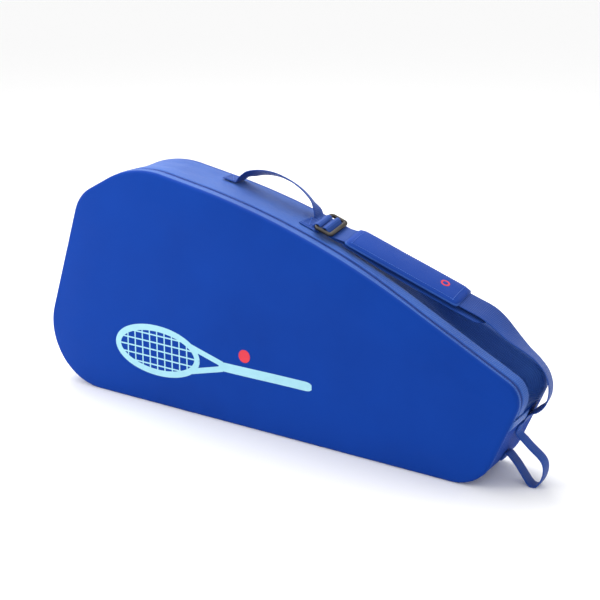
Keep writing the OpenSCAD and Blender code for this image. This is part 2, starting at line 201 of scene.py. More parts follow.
def distances(points):
    """Distance run at each point, starting from 0."""
    return np.concatenate(([0], np.cumsum(hops(points))))


def corner_arcs():
    """Centre, radius, start angle and turn of each corner's arc, angles in radians."""
    arcs = []
    facing = None
    for i, (x, z, radius) in enumerate(CORNERS):
        here = np.array((x, z))
        before = unit(np.array(CORNERS[i - 1][:2]) - here)
        after = unit(np.array(CORNERS[(i + 1) % len(CORNERS)][:2]) - here)
        half = math.acos(before @ after) / 2
        centre = here + unit(before + after) * radius / math.sin(half)
        if facing is None:
            facing = math.atan2(before[0], -before[1])
        turn = math.pi - 2 * half
        arcs.append((centre, radius, facing, turn))
        facing += turn
    return arcs


def outline_table(step=2.5 * MM):
    """Rows of x, z, facing angle and distance run, once round the outline."""
    rows = []
    arcs = corner_arcs()
    for i, (centre, radius, facing, turn) in enumerate(arcs):
        steps = max(6, int(turn * radius / step))
        for angle in facing + turn * np.arange(steps + 1) / steps:
            rows.append((*(centre + radius * np.array((math.cos(angle), math.sin(angle)))), angle))
        out = np.array((math.cos(facing + turn), math.sin(facing + turn)))
        side_from = centre + radius * out
        next_centre, next_radius = arcs[(i + 1) % len(arcs)][:2]
        side_to = next_centre + next_radius * out
        steps = max(1, int(np.linalg.norm(side_to - side_from) / step))
        for k in range(1, steps):
            rows.append((*(side_from + (side_to - side_from) * k / steps), facing + turn))
    rows.append((rows[0][0], rows[0][1], rows[0][2] + 2 * math.pi))
    table = np.array(rows)
    return np.column_stack((table, distances(table[:, :2])))


OUTLINE = outline_table()
LAP = OUTLINE[-1, 3]


def at(s):
    """x, z and facing angle at distance s round the outline."""
    s = np.mod(s, LAP)
    return [np.interp(s, OUTLINE[:, 3], OUTLINE[:, column]) for column in range(3)]


def off(s, y, depth):
    """Points at distance s, across at y, sunk by depth below the outline."""
    x, z, facing = at(s)
    return np.stack(np.broadcast_arrays(x - depth * np.cos(facing), y, z - depth * np.sin(facing)), -1)


def outward(s):
    """Unit vectors that point out of the outline at distances s."""
    facing = at(s)[2]
    return np.stack((np.cos(facing), 0 * facing, np.sin(facing)), -1)


def run_where(column, value, low_angle, high_angle):
    """Distance run at which x (column 0) or z (column 1) has this value, on one side."""
    angles = np.degrees(OUTLINE[:, 2])
    part = OUTLINE[(angles > low_angle) & (angles < high_angle)]
    order = np.argsort(part[:, column])
    return float(np.interp(value, part[order, column], part[order, 3]))


def top_run(x):
    return run_where(0, x, 5, 165)


S_HANDLE = run_where(1, 96 * MM, -88, 0.5)
S_HEAD = run_where(1, 20 * MM, 150, 269)
print("outline", round(LAP, 3), "m round; zip from", round(S_HANDLE, 3), "to", round(S_HEAD, 3))

# %% [markdown]
# ## Fabric finishes
#
# The bag is plain-weave polyester. Up close it has crossing yarns, so two fine waves at right
# angles make a bump; further off it has faint blotches, so a soft noise shifts the colour. The
# waves read the piece's own UV map, which is laid in metres along and across each piece, so
# the threads turn with the cloth and keep one size everywhere. Sheen gives the pale edge that
# brushed yarn has where light grazes it.

# %% Fabric finishes
def new_material(name):
    material = bpy.data.materials.new(name)
    material.use_nodes = True
    return material, material.node_tree.nodes, material.node_tree.links


def add(nodes, kind, **settings):
    node = nodes.new(kind)
    for key, value in settings.items():
        if key.startswith("in_"):
            node.inputs[key[3:].replace("_", " ")].default_value = value
        else:
            setattr(node, key, value)
    return node


def two_tone(nodes, links, source, dark, light, low, high):
    """A ramp from dark to light over this stretch of a value."""
    ramp = add(nodes, "ShaderNodeValToRGB")
    ends = ramp.color_ramp.elements
    ends[0].position, ends[1].position = low, high
    ends[0].color, ends[1].color = (*dark, 1), (*light, 1)
    links.new(source, ramp.inputs["Fac"])
    links.new(ramp.outputs["Color"], nodes["Principled BSDF"].inputs["Base Color"])


def uneven_gloss(nodes, links, source, low, high):
    """Roughness that wanders between two values."""
    spread = add(nodes, "ShaderNodeMapRange")
    spread.inputs["To Min"].default_value = low
    spread.inputs["To Max"].default_value = high
    links.new(source, spread.inputs["Value"])
    links.new(spread.outputs["Result"], nodes["Principled BSDF"].inputs["Roughness"])


def relief(nodes, links, source, strength, depth):
    bump = add(nodes, "ShaderNodeBump", in_Strength=strength, in_Distance=depth)
    links.new(source, bump.inputs["Height"])
    links.new(bump.outputs["Normal"], nodes["Principled BSDF"].inputs["Normal"])


def threads(nodes, links, place, axis, pitch):
    """A wave across one direction of the cloth, one crest for each yarn."""
    wave = add(nodes, "ShaderNodeTexWave", wave_type="BANDS", bands_direction=axis)
    wave.inputs["Scale"].default_value = 2 * math.pi / (20 * pitch)
    wave.inputs["Distortion"].default_value = 0.6
    wave.inputs["Detail"].default_value = 1
    wave.inputs["Detail Scale"].default_value = 0.002 / pitch
    links.new(place, wave.inputs["Vector"])
    return wave.outputs["Fac"]


def cloth(name, light, dark, pitch=(0.9 * MM, 0.9 * MM), depth=0.25 * MM, rough=0.62, sheen=0.35,
          blotch=9, gloss=0.3):
    """Woven cloth. pitch is the yarn spacing along and across the piece."""
    material, nodes, links = new_material(name)
    shader = nodes["Principled BSDF"]
    place = add(nodes, "ShaderNodeUVMap", uv_map="cloth").outputs["UV"]
    warp = threads(nodes, links, place, "X", pitch[0])
    weft = threads(nodes, links, place, "Y", pitch[1])
    yarn = add(nodes, "ShaderNodeMath", operation="MULTIPLY")
    links.new(warp, yarn.inputs[0])
    links.new(weft, yarn.inputs[1])
    coords = add(nodes, "ShaderNodeTexCoord")
    cloud = add(nodes, "ShaderNodeTexNoise", in_Scale=blotch, in_Detail=3.0, in_Roughness=0.55)
    links.new(coords.outputs["Object"], cloud.inputs["Vector"])
    fuzz = add(nodes, "ShaderNodeTexNoise", in_Scale=420.0, in_Detail=2.0)
    links.new(coords.outputs["Object"], fuzz.inputs["Vector"])
    tone = add(nodes, "ShaderNodeMath", operation="MULTIPLY_ADD")
    tone.inputs[1].default_value = 0.42
    links.new(yarn.outputs[0], tone.inputs[0])
    links.new(cloud.outputs["Fac"], tone.inputs[2])
    two_tone(nodes, links, tone.outputs[0], dark, light, 0.25, 0.85)
    grain = add(nodes, "ShaderNodeMath", operation="MULTIPLY_ADD")
    grain.inputs[1].default_value = 0.35
    links.new(fuzz.outputs["Fac"], grain.inputs[0])
    links.new(yarn.outputs[0], grain.inputs[2])
    relief(nodes, links, grain.outputs[0], 0.55, depth)
    uneven_gloss(nodes, links, cloud.outputs["Fac"], rough - 0.06, rough + 0.08)
    shader.inputs["Sheen Weight"].default_value = sheen
    shader.inputs["Sheen Roughness"].default_value = 0.4
    shader.inputs["Sheen Tint"].default_value = (0.72, 0.82, 1.0, 1)
    shader.inputs["Specular IOR Level"].default_value = gloss
    return material


SHELL_CLOTH = cloth("shell_cloth", (0.0025, 0.043, 0.305), (0.001, 0.033, 0.25), rough=0.65,
                    sheen=0.02, gloss=0.07)
PAD_CLOTH = cloth("pad_cloth", (0.007, 0.052, 0.32), (0.004, 0.038, 0.26), rough=0.6,
                  sheen=0.06, gloss=0.12)
GUSSET_CLOTH = cloth("gusset_cloth", (0.036, 0.128, 0.47), (0.007, 0.052, 0.29),
                     pitch=(2.4 * MM, 1.4 * MM), depth=0.9 * MM, rough=0.5, sheen=0.16,
                     gloss=0.2)
LINING_CLOTH = cloth("lining_cloth", (0.012, 0.045, 0.17), (0.008, 0.03, 0.12), rough=0.7, sheen=0.2)
WEBBING_CLOTH = cloth("webbing_cloth", (0.011, 0.066, 0.33), (0.003, 0.026, 0.18),
                      pitch=(2.2 * MM, 3.0 * MM), depth=0.9 * MM, rough=0.55, sheen=0.08,
                      gloss=0.2)
BINDING_CLOTH = cloth("binding_cloth", (0.030, 0.115, 0.45), (0.005, 0.040, 0.24),
                      pitch=(1.6 * MM, 2.2 * MM), depth=0.9 * MM, rough=0.55, sheen=0.08,
                      gloss=0.2)
TAPE_CLOTH = cloth("tape_cloth", (0.010, 0.055, 0.33), (0.006, 0.035, 0.24),
                   pitch=(1.2 * MM, 1.8 * MM), depth=0.4 * MM, rough=0.65, sheen=0.25)
print("cloths:", [m.name for m in bpy.data.materials if m.name.endswith("cloth")])

# %% [markdown]
# ## Thread, coil, rubber, metal and print
#
# Sewing thread and the nylon coil are smooth plastic with a little unevenness. The buckle is
# brushed metal with a bronze-grey plating: fine scratches run along it and the plating's tone
# varies in soft patches. The print is a thin matt film.

# %% Other finishes
def plastic(name, light, dark, rough, scale=300.0, depth=0.05 * MM):
    material, nodes, links = new_material(name)
    coords = add(nodes, "ShaderNodeTexCoord")
    cloud = add(nodes, "ShaderNodeTexNoise", in_Scale=scale, in_Detail=3.0)
    links.new(coords.outputs["Object"], cloud.inputs["Vector"])
    two_tone(nodes, links, cloud.outputs["Fac"], dark, light, 0.3, 0.7)
    uneven_gloss(nodes, links, cloud.outputs["Fac"], rough - 0.08, rough + 0.08)
    relief(nodes, links, cloud.outputs["Fac"], 0.5, depth)
    return material


def brushed_metal(name, light, dark):
    material = plastic(name, light, dark, 0.36, scale=90.0, depth=0.03 * MM)
    nodes, links = material.node_tree.nodes, material.node_tree.links
    nodes["Principled BSDF"].inputs["Metallic"].default_value = 1.0
    coords = nodes["Texture Coordinate"]
    stretch = add(nodes, "ShaderNodeMapping")
    stretch.inputs["Scale"].default_value = (1.0, 0.06, 1.0)
    links.new(coords.outputs["Object"], stretch.inputs["Vector"])
    scratch = add(nodes, "ShaderNodeTexNoise", in_Scale=2600.0, in_Detail=2.0)
    links.new(stretch.outputs["Vector"], scratch.inputs["Vector"])
    links.new(scratch.outputs["Fac"], nodes["Bump"].inputs["Height"])
    return material


THREAD = plastic("thread", (0.045, 0.16, 0.62), (0.02, 0.10, 0.48), 0.5, scale=900.0)
COIL = plastic("coil_nylon", (0.016, 0.075, 0.40), (0.008, 0.045, 0.28), 0.42, scale=700.0)
RUBBER = plastic("pull_rubber", (0.010, 0.035, 0.16), (0.006, 0.022, 0.11), 0.55, scale=500.0)
METAL = brushed_metal("bronze_metal", (0.080, 0.072, 0.063), (0.036, 0.032, 0.029))
AQUA = plastic("print_aqua", (0.33, 0.62, 0.71), (0.29, 0.57, 0.66), 0.55, scale=60.0)
RED = plastic("print_red", (0.66, 0.020, 0.045), (0.58, 0.014, 0.034), 0.6, scale=60.0)
BOARD = plastic("stiffener_board", (0.05, 0.055, 0.065), (0.03, 0.033, 0.04), 0.8, scale=200.0)
print("materials in all:", len(bpy.data.materials))

# %% [markdown]
# ## Making closed cloth shells
#
# Cloth has thickness, so each piece is a closed shell: an outer face, an inner face and the
# cut edges between. One helper turns a grid of outer points and a matching grid of inner
# points into such a shell, and lays the UV map in metres so that the weave has its real size.

# %% Shell helpers
def map_cloth(mesh, uvs):
    """Lays the cloth's UV map, given one place for each vertex."""
    layer = mesh.uv_layers.new(name="cloth")
    corner_verts = np.zeros(len(mesh.loops), int)
    mesh.loops.foreach_get("vertex_index", corner_verts)
    layer.data.foreach_set("uv", np.asarray(uvs, np.float32)[corner_verts].ravel())


def shade(mesh, sharp):
    """Turns every face outwards and shades smooth, except over edges sharper than this."""
    shape = bmesh.new()
    shape.from_mesh(mesh)
    bmesh.ops.recalc_face_normals(shape, faces=shape.faces)
    shape.to_mesh(mesh)
    shape.free()
    mesh.shade_smooth()
    mesh.set_sharp_from_angle(angle=math.radians(sharp))


def add_object(name, mesh):
    piece = bpy.data.objects.new(name, mesh)
    bpy.context.scene.collection.objects.link(piece)
    return piece


def finish_mesh(name, verts, faces, uvs, material, sharp=35):
    mesh = bpy.data.meshes.new(name)
    mesh.from_pydata([tuple(v) for v in verts], [], faces)
    map_cloth(mesh, uvs)
    mesh.materials.append(material)
    piece = add_object(name, mesh)
    shade(mesh, sharp)
    return piece


def strip_faces(n, k, o, i):
    """Faces of a closed strip: n rows of k points, outer ones from o on, inner from i on."""
    faces = []
    for r in range(n - 1):
        for c in range(k - 1):
            a = r * k + c
            faces.append((o + a, o + a + 1, o + a + k + 1, o + a + k))
            faces.append((i + a, i + a + k, i + a + k + 1, i + a + 1))
        for c in (0, k - 1):
            a = r * k + c
            faces.append((o + a, o + a + k, i + a + k, i + a))
    for r in (0, n - 1):
        for c in range(k - 1):
            a = r * k + c
            faces.append((o + a, i + a, i + a + 1, o + a + 1))
    return faces


def strip_shell(name, outer, inner, uv, material, sharp=35):
    """A closed shell between two (n, k, 3) grids of points, outer and inner."""
    n, k = outer.shape[:2]
    verts = np.concatenate((outer.reshape(-1, 3), inner.reshape(-1, 3)))
    faces = strip_faces(n, k, 0, n * k)
    uvs = np.concatenate((uv.reshape(-1, 2), uv.reshape(-1, 2)))
    return finish_mesh(name, verts, faces, uvs, material, sharp)


def band(name, start, stop, profile, thickness, material, step=4 * MM):
    """A strip along the outline. profile(s) gives lists of y and of depth at distance s."""
    runs = np.linspace(start, stop, max(2, int((stop - start) / step)))
    rows = [profile(s) for s in runs]
    ys = np.array([row[0] for row in rows])
    depths = np.array([row[1] for row in rows])
    outer = off(runs[:, None], ys, depths)
    inner = off(runs[:, None], ys, depths + thickness)
    uv = np.stack((np.broadcast_to(runs[:, None], ys.shape), ys), -1)
    return strip_shell(name, outer, inner, uv, material)


def smooth(t):
    t = np.clip(t, 0, 1)
    return t * t * (3 - 2 * t)


def ripple(x, y, z, size, seed):
    """Soft noise between -1 and 1 at points, with bumps about this size."""
    points = np.stack(np.broadcast_arrays(x, y, z), -1).reshape(-1, 3) / size
    values = [noise.noise(Vector(p) + Vector((seed, 0.37 * seed, 1.7 * seed))) for p in points]
    return np.array(values).reshape(np.broadcast(x, y, z).shape)


print("faces in a closed strip of 3 rows of 4 points:", len(strip_faces(3, 4, 0, 12)))

# %% [markdown]
# ## Side panels
#
# Each panel is fabric over foam. It leaves its seam steeply, over a rounded lip, and then
# crowns gently. A ring of points at each distance in from the seam makes the lip and the edge
# puckers easy to shape, because both depend only on the distance from the seam. The rings
# carry on inwards to the middle of the panel. The foam is part of the same shell, so the
# inner face drops away behind the lip.

# %% Side panels
RING_POINTS = 300
LIP = 4.5 * MM
LIP_RISE = 3.6 * MM
CROWN = 5.6 * MM
CROWN_RUN = 70 * MM
LAST_INSET = 26 * MM
MIDDLE = np.array((-0.02, 0.155))
FABRIC = 1.2 * MM
FOAM = 3.6 * MM


def panel_rings(first):
    """x, z and distance from the seam for every ring, outermost first."""
    runs = np.arange(RING_POINTS) * LAP / RING_POINTS
    x, z, facing = at(runs)
    insets = first + (LAST_INSET - first) * (np.arange(15) / 14) ** 1.7
    xs = [x - d * np.cos(facing) for d in insets]
    zs = [z - d * np.sin(facing) for d in insets]
    ds = [np.full(RING_POINTS, d) for d in insets]
    reach = np.hypot(xs[-1] - MIDDLE[0], zs[-1] - MIDDLE[1])
    for shrink in np.linspace(1, 0, 38)[1:-1]:
        xs.append(MIDDLE[0] + (xs[14] - MIDDLE[0]) * shrink)
        zs.append(MIDDLE[1] + (zs[14] - MIDDLE[1]) * shrink)
        ds.append(LAST_INSET + reach * (1 - shrink))
    return np.array(xs), np.array(zs), np.array(ds)


def panel_rise(x, z, d, seed):
    """Height of the panel's face above its seam."""
    lip = LIP_RISE * np.sqrt(1 - (1 - np.clip(d / LIP, 0, 1)) ** 2)
    crown = CROWN * (1 - (1 - np.clip(d / CROWN_RUN, 0, 1)) ** 2)
    pucker = 0.5 * MM * np.exp(-d / (9 * MM)) * np.clip(d / (2 * MM), 0, 1)
    inner = smooth(d / (60 * MM))
    return (
        lip + crown
        + pucker * ripple(x, 0, z, 14 * MM, seed + 5)
        + 1.6 * MM * inner * ripple(x, 0, z, 150 * MM, seed)
        + 0.5 * MM * smooth(d / (20 * MM)) * ripple(x, 0, z, 55 * MM, seed + 2)
    )


def ring_shell(name, side, first, sink_outer, sink_inner, seed, material):
    """A closed shell made of rings; the sinks are depths below the panel's face."""
    x, z, d = panel_rings(first)
    face = panel_rise(x, z, d, seed)
    outer_y = side * (HALF_GAP + face - sink_outer(d))
    inner_y = side * (HALF_GAP + face - sink_inner(d))
    rings, m = x.shape
    verts = []
    for y in (outer_y, inner_y):
        verts += list(np.stack((x, y, z), -1).reshape(-1, 3))
        verts.append((MIDDLE[0], y[-1].mean(), MIDDLE[1]))
    faces = []
    sheet = rings * m + 1
    for base in (0, sheet):
        for r in range(rings - 1):
            for j in range(m):
                a, b = r * m + j, r * m + (j + 1) % m
                faces.append((base + a, base + b, base + b + m, base + a + m))
        last = (rings - 1) * m
        for j in range(m):
            faces.append((base + last + j, base + last + (j + 1) % m, base + rings * m))
    for j in range(m):
        faces.append((j, sheet + j, sheet + (j + 1) % m, (j + 1) % m))
    verts = np.array(verts)
    return finish_mesh(name, verts, faces, verts[:, [0, 2]], material, sharp=50)


def no_sink(d):
    return 0 * d


def foam_back(d):
    return FABRIC + FOAM * smooth((d - 1.8 * MM) / (3 * MM))


def lining_face(d):
    return FABRIC + FOAM + 0.4 * MM + 0 * d


def lining_back(d):
    return lining_face(d) + 0.8 * MM


back_panel = ring_shell("back_panel_cloth", 1, 0, no_sink, foam_back, 11, SHELL_CLOTH)
front_panel = ring_shell("front_panel_cloth", -1, 0, no_sink, foam_back, 3, SHELL_CLOTH)
back_lining = ring_shell("back_lining_cloth", 1, 4.5 * MM, lining_face, lining_back, 11, LINING_CLOTH)
front_lining = ring_shell("front_lining_cloth", -1, 4.5 * MM, lining_face, lining_back, 3, LINING_CLOTH)
print("panel faces:", len(back_panel.data.polygons))

# %% [markdown]
# ## Riding on the bodies, and the fold
#
# The front panel is sewn to the case below the zip's ends and free above them, so it bends
# along a line that joins the two ends. That line is read from the model's fold joint. Pieces
# on the case ride on its body; pieces on the cover are baked where they stand.

# %% Bodies
cover_joint = next(j for j in frame["joints"] if j["name"] == "cover_fold")
FOLD_AT = np.array(cover_joint["pos_m"])
FOLD_AXIS = unit(cover_joint["axis"])
FOLD_UP = unit(np.cross(FOLD_AXIS, (0, 1, 0)) * -1)
if FOLD_UP[2] < 0:
    FOLD_UP = -FOLD_UP


def settle(piece, body, nodes=()):
    """Rides on a body and hides the CAD nodes that it stands for."""
    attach(piece, body)
    if nodes:
        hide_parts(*nodes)


def settle_on_cover(piece, nodes=()):
    """Bakes the piece's place into its mesh and hides the CAD nodes that it stands for."""
    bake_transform(piece)
    if nodes:
        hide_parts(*nodes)


settle(back_panel, "case", ("back_panel", "back_foam"))
settle(back_lining, "case", ("back_lining",))
settle_on_cover(front_panel,
                ("front_panel", "front_panel_lower", "front_foam", "front_foam_lower"))
settle_on_cover(front_lining, ("front_lining", "front_lining_lower"))
print("fold up direction", np.round(FOLD_UP, 3))

# %% [markdown]
# ## Front strip, gusset and base
#
# A narrow strip joins the front panel to the zip; the gusset joins the zip to the back panel.
# Their edges are turned under where they are sewn, which leaves a small dark groove at every
# seam. Towards the handle end the gusset has no rackets behind it, so it sags into a long
# hollow between two ridges. The base piece wraps round under the bag from one zip end to the
# other, and its ends lap over the gusset.

# %% Gusset pieces
STRIP = 15 * MM
STRIP_TAIL = 9 * MM
TAIL_RUN = top_run(0.24 * LENGTH) - S_HANDLE
TEETH_HALF = 2.7 * MM
EDGE_Y = HALF_GAP - 0.6 * MM
TURN_UNDER = 1.3 * MM
SAG = 20 * MM
HOLLOW_FADE = top_run(0.14 * LENGTH) - S_HANDLE


def zip_y(s):
    widen = smooth((s - S_HANDLE - 0.7 * TAIL_RUN) / (0.6 * TAIL_RUN))
    return -HALF_GAP + STRIP_TAIL + (STRIP - STRIP_TAIL) * widen


def turned_edges(y0, y1, middle_y, middle_depth):
    """Adds rolled-under edges to a profile that runs from y0 to y1."""
    ys = [y0, y0 + 0.25 * MM, y0 + 1.0 * MM] + list(middle_y)
    ys += [y1 - 1.0 * MM, y1 - 0.25 * MM, y1]
    depths = [TURN_UNDER, 0.45 * MM, 0.05 * MM] + list(middle_depth)
    depths += [0.05 * MM, 0.45 * MM, TURN_UNDER]
    return ys, depths


def strip_profile(s):
    y0, y1 = -EDGE_Y, float(zip_y(s)) - TEETH_HALF
    inside = y0 + (y1 - y0) * np.array((0.3, 0.5, 0.7))
    return turned_edges(y0, y1, inside, -0.35 * MM * np.array((0.8, 1, 0.8)))


def hollow(s):
    """How deep the gusset sags at distance s."""
    fade = smooth((HOLLOW_FADE - s + S_HANDLE) / (0.62 * HOLLOW_FADE))
    end = 0.62 * smooth((s - S_HANDLE) / (12 * MM)) + 0.38 * smooth((s - S_HANDLE) / (32 * MM))
    return 1.2 * MM + (SAG - 1.2 * MM) * fade * end


def gusset_profile(s):
    y0, y1 = float(zip_y(s)) + TEETH_HALF, EDGE_Y
    inside = np.linspace(y0 + 3 * MM, y1 - 3 * MM, 26)
    sink = smooth((inside + 17 * MM) / (20 * MM)) * smooth((39 * MM - inside) / (18 * MM))
    soft = noise.noise(Vector((s * 22, 0, 3))) * 0.7 * MM
    creases = [noise.noise(Vector((s * 45, y * 60, 7))) * 0.5 * MM for y in inside]
    depth = hollow(s) * sink + (soft + np.array(creases)) * np.clip(sink + 0.15, 0, 1)
    return turned_edges(y0, y1, inside, depth)


def lining_profile(s):
    ys, depths = gusset_profile(s)
    return ys[3:-3], np.array(depths[3:-3]) + 2.4 * MM


def base_profile(s):
    inside = np.linspace(-EDGE_Y + 2 * MM, EDGE_Y - 2 * MM, 17)
    return turned_edges(-EDGE_Y, EDGE_Y, inside, 0 * inside)


def base_lining_profile(s):
    inside = np.linspace(-EDGE_Y + 4 * MM, EDGE_Y - 4 * MM, 9)
    return inside, np.full(9, 4.8 * MM)


strip = band("front_strip_cloth", S_HANDLE + MM, S_HEAD - MM, strip_profile, FABRIC, GUSSET_CLOTH)
gusset = band("main_gusset_cloth", S_HANDLE, S_HEAD, gusset_profile, FABRIC, GUSSET_CLOTH, 3 * MM)
gusset_lining = band("gusset_lining_cloth", S_HANDLE, S_HEAD, lining_profile, 0.8 * MM, LINING_CLOTH)
base = band("base_gusset_cloth", S_HEAD - 2 * MM, S_HANDLE + LAP + 2 * MM, base_profile, FABRIC,
            SHELL_CLOTH)
base_lining = band("base_lining_cloth", S_HEAD, S_HANDLE + LAP, base_lining_profile, 0.8 * MM,
                   LINING_CLOTH)


def hem_profile(s):
    """A folded hem over the zip's end, on the front half of the base piece."""
    t = np.clip((s - S_HANDLE - LAP + 12 * MM) / (14 * MM), 0, 1)
    puff = 1.7 * MM + 0.6 * MM * math.sin(math.pi * t)
    inside = np.linspace(-EDGE_Y + 2 * MM, 0, 12)
    ys, depths = turned_edges(-EDGE_Y, 2 * MM, inside, 0 * inside)
    return ys, np.array(depths) - puff


hem = band("end_hem_cloth", S_HANDLE + LAP - 12 * MM, S_HANDLE + LAP + 2 * MM, hem_profile,
           1.2 * MM, GUSSET_CLOTH, 1.2 * MM)
settle(hem, "case")
settle_on_cover(strip, ("front_strip",))
settle(gusset, "case", ("main_gusset",))
settle(gusset_lining, "case", ("gusset_lining",))
settle(base, "case", ("base_gusset",))
settle(base_lining, "case", ("base_lining",))
print("gusset faces:", len(gusset.data.polygons), "base faces:", len(base.data.polygons))

# %% [markdown]
# ## Bindings and zip tapes
#
# Inside, a folded tape binds the raw edges of each seam. The zip's two tapes carry the teeth;
# they lie under the strip and the gusset and show only beside the teeth.

# %% Bindings and tapes
BINDING_DEPTH = 6.4 * MM


def binding_profile(side):
    edges = sorted((side * 33 * MM, side * 37 * MM))

    def profile(s):
        return np.linspace(*edges, 4), BINDING_DEPTH - 0.3 * MM * np.array((0, 1, 1, 0))
    return profile


def tape_profile(near, far):
    def profile(s):
        ys = float(zip_y(s)) + np.linspace(near, far, 4)
        return np.maximum(ys, -EDGE_Y + 0.4 * MM), np.full(4, 1.7 * MM)
    return profile


def binding(name, start, stop, side):
    return band(name, start, stop, binding_profile(side), MM, BINDING_CLOTH, 6 * MM)


bindings = [
    (binding("back_binding_tape", S_HANDLE + MM, S_HANDLE + LAP - MM, 1), False, "back_binding"),
    (binding("front_binding_tape", S_HANDLE + 4 * MM, S_HEAD - 4 * MM, -1), True, "front_binding"),
    (binding("lower_binding_tape", S_HEAD, S_HANDLE + LAP, -1), False, "front_binding_lower"),
]
for piece, on_cover, node in bindings:
    if on_cover:
        settle_on_cover(piece, (node,))
    else:
        settle(piece, "case", (node,))
tape_front = band("zip_tape_front_cloth", S_HANDLE + MM, S_HEAD - MM,
                  tape_profile(-9 * MM, -0.9 * MM), 0.6 * MM, TAPE_CLOTH)
tape_back = band("zip_tape_back_cloth", S_HANDLE, S_HEAD,
                 tape_profile(0.9 * MM, 9 * MM), 0.6 * MM, TAPE_CLOTH)
settle_on_cover(tape_front, ("zip_tape_front",))
settle(tape_back, "case", ("zip_tape_back",))
print("tape faces:", len(tape_front.data.polygons), "and", len(tape_back.data.polygons))

# %% [markdown]
# ## Things set along a path
#
# Zip teeth and stitches are the same small shape repeated along a line, which is what
# Geometry Nodes do well. The tree takes a path of edges that carries a facing direction, sets
# a copy of one small mesh at each spacing, turns it along the path with its top to the facing
# direction, and makes the copies real. The result is turned into a plain mesh.

# %% Geometry Nodes tree for a row of copies
def new_tree(name, inputs, output):
    """An empty tree with these inputs, each a label and a kind, and one geometry output."""
    tree = bpy.data.node_groups.new(name, "GeometryNodeTree")
    for label, kind in inputs:
        tree.interface.new_socket(label, in_out="INPUT", socket_type="NodeSocket" + kind)
    tree.interface.new_socket(output, in_out="OUTPUT", socket_type="NodeSocketGeometry")
    return tree


def wire(tree, pairs):
    for giver, outlet, taker, inlet in pairs:
        tree.links.new(giver.outputs[outlet], taker.inputs[inlet])


def row_tree():
    inputs = [("Path", "Geometry"), ("Spacing", "Float"), ("Copy", "Object"), ("Finish", "Material")]
    tree = new_tree("row_along_path", inputs, "Row")
    nodes = tree.nodes
    start = nodes.new("NodeGroupInput")
    curve = nodes.new("GeometryNodeMeshToCurve")
    points = add(nodes, "GeometryNodeCurveToPoints", mode="LENGTH")
    facing = add(nodes, "GeometryNodeInputNamedAttribute", data_type="FLOAT_VECTOR")
    facing.inputs["Name"].default_value = "facing"
    along = add(nodes, "FunctionNodeAlignRotationToVector", axis="X")
    upright = add(nodes, "FunctionNodeAlignRotationToVector", axis="Z", pivot_axis="X")
    shape = add(nodes, "GeometryNodeObjectInfo", transform_space="ORIGINAL")
    copies = nodes.new("GeometryNodeInstanceOnPoints")
    real = nodes.new("GeometryNodeRealizeInstances")
    finish = nodes.new("GeometryNodeSetMaterial")
    end = nodes.new("NodeGroupOutput")
    wire(tree, [
        (start, "Path", curve, "Mesh"),
        (curve, "Curve", points, "Curve"),
        (start, "Spacing", points, "Length"),
        (points, "Tangent", along, "Vector"),
        (along, "Rotation", upright, "Rotation"),
        (facing, "Attribute", upright, "Vector"),
        (start, "Copy", shape, "Object"),
        (points, "Points", copies, "Points"),
        (shape, "Geometry", copies, "Instance"),
        (upright, "Rotation", copies, "Rotation"),
        (copies, "Instances", real, "Geometry"),
        (real, "Geometry", finish, "Geometry"),
        (start, "Finish", finish, "Material"),
        (finish, "Geometry", end, "Row"),
    ])
    return tree


ROW_TREE = row_tree()


def grow(carrier, tree, inputs, name):
    """Runs a tree on a carrier object and keeps the result as a plain mesh object."""
    modifier = carrier.modifiers.new("nodes", "NODES")
    modifier.node_group = tree
    for item in tree.interface.items_tree:
        if item.in_out == "INPUT" and item.name in inputs:
            modifier[item.identifier] = inputs[item.name]
    bpy.context.view_layer.update()
    graph = bpy.context.evaluated_depsgraph_get()
    mesh = bpy.data.meshes.new_from_object(carrier.evaluated_get(graph))
    mesh.name = name
    bpy.data.objects.remove(carrier)
    return add_object(name, mesh)


def path_object(paths):
    """One mesh of poly-lines; each path is (points, facing directions)."""
    verts, edges, facing = [], [], []
    for points, ups in paths:
        first = len(verts)
        verts += [tuple(p) for p in points]
        facing += [tuple(u) for u in ups]
        edges += [(first + k, first + k + 1) for k in range(len(points) - 1)]
    mesh = bpy.data.meshes.new("path")
    mesh.from_pydata(verts, edges, [])
    attribute = mesh.attributes.new("facing", "FLOAT_VECTOR", "POINT")
    attribute.data.foreach_set("vector", np.array(facing, np.float32).ravel())
    return add_object("path", mesh)


def bead(name, length, width, height, around=6, rings=3):
    """A small rounded grain, long in X, that lies on Z = 0."""
    shape = bmesh.new()
    bmesh.ops.create_uvsphere(shape, u_segments=around, v_segments=rings + 1, radius=0.5)
    bmesh.ops.rotate(shape, verts=shape.verts, matrix=Matrix.Rotation(math.pi / 2, 3, "Y"))
    bmesh.ops.scale(shape, vec=(length, width, height), verts=shape.verts)
    mesh = bpy.data.meshes.new(name)
    shape.to_mesh(mesh)
    shape.free()
    mesh.shade_smooth()
    return add_object(name, mesh)


def row(name, paths, spacing, copy, material):
    return grow(path_object(paths), ROW_TREE, {"Spacing": spacing, "Copy": copy, "Finish": material},
                name)


def outline_path(start, stop, y_of, depth, step=3 * MM):
    """A path on the outline, at the y that y_of gives for each distance."""
    runs = np.linspace(start, stop, max(3, int((stop - start) / step)))
    ys = np.array([float(y_of(s)) for s in runs])
    return off(runs, ys, depth), outward(runs)


print("row tree:", len(ROW_TREE.nodes), "nodes")

# %% [markdown]
# ## Zip teeth
#
# The zip is a nylon coil: each turn shows as a small rounded bar across the tape. A bar is
# 2.7 mm across and the turns are 1.6 mm apart. Each side's row is its own piece, because the
# front row opens with the cover.

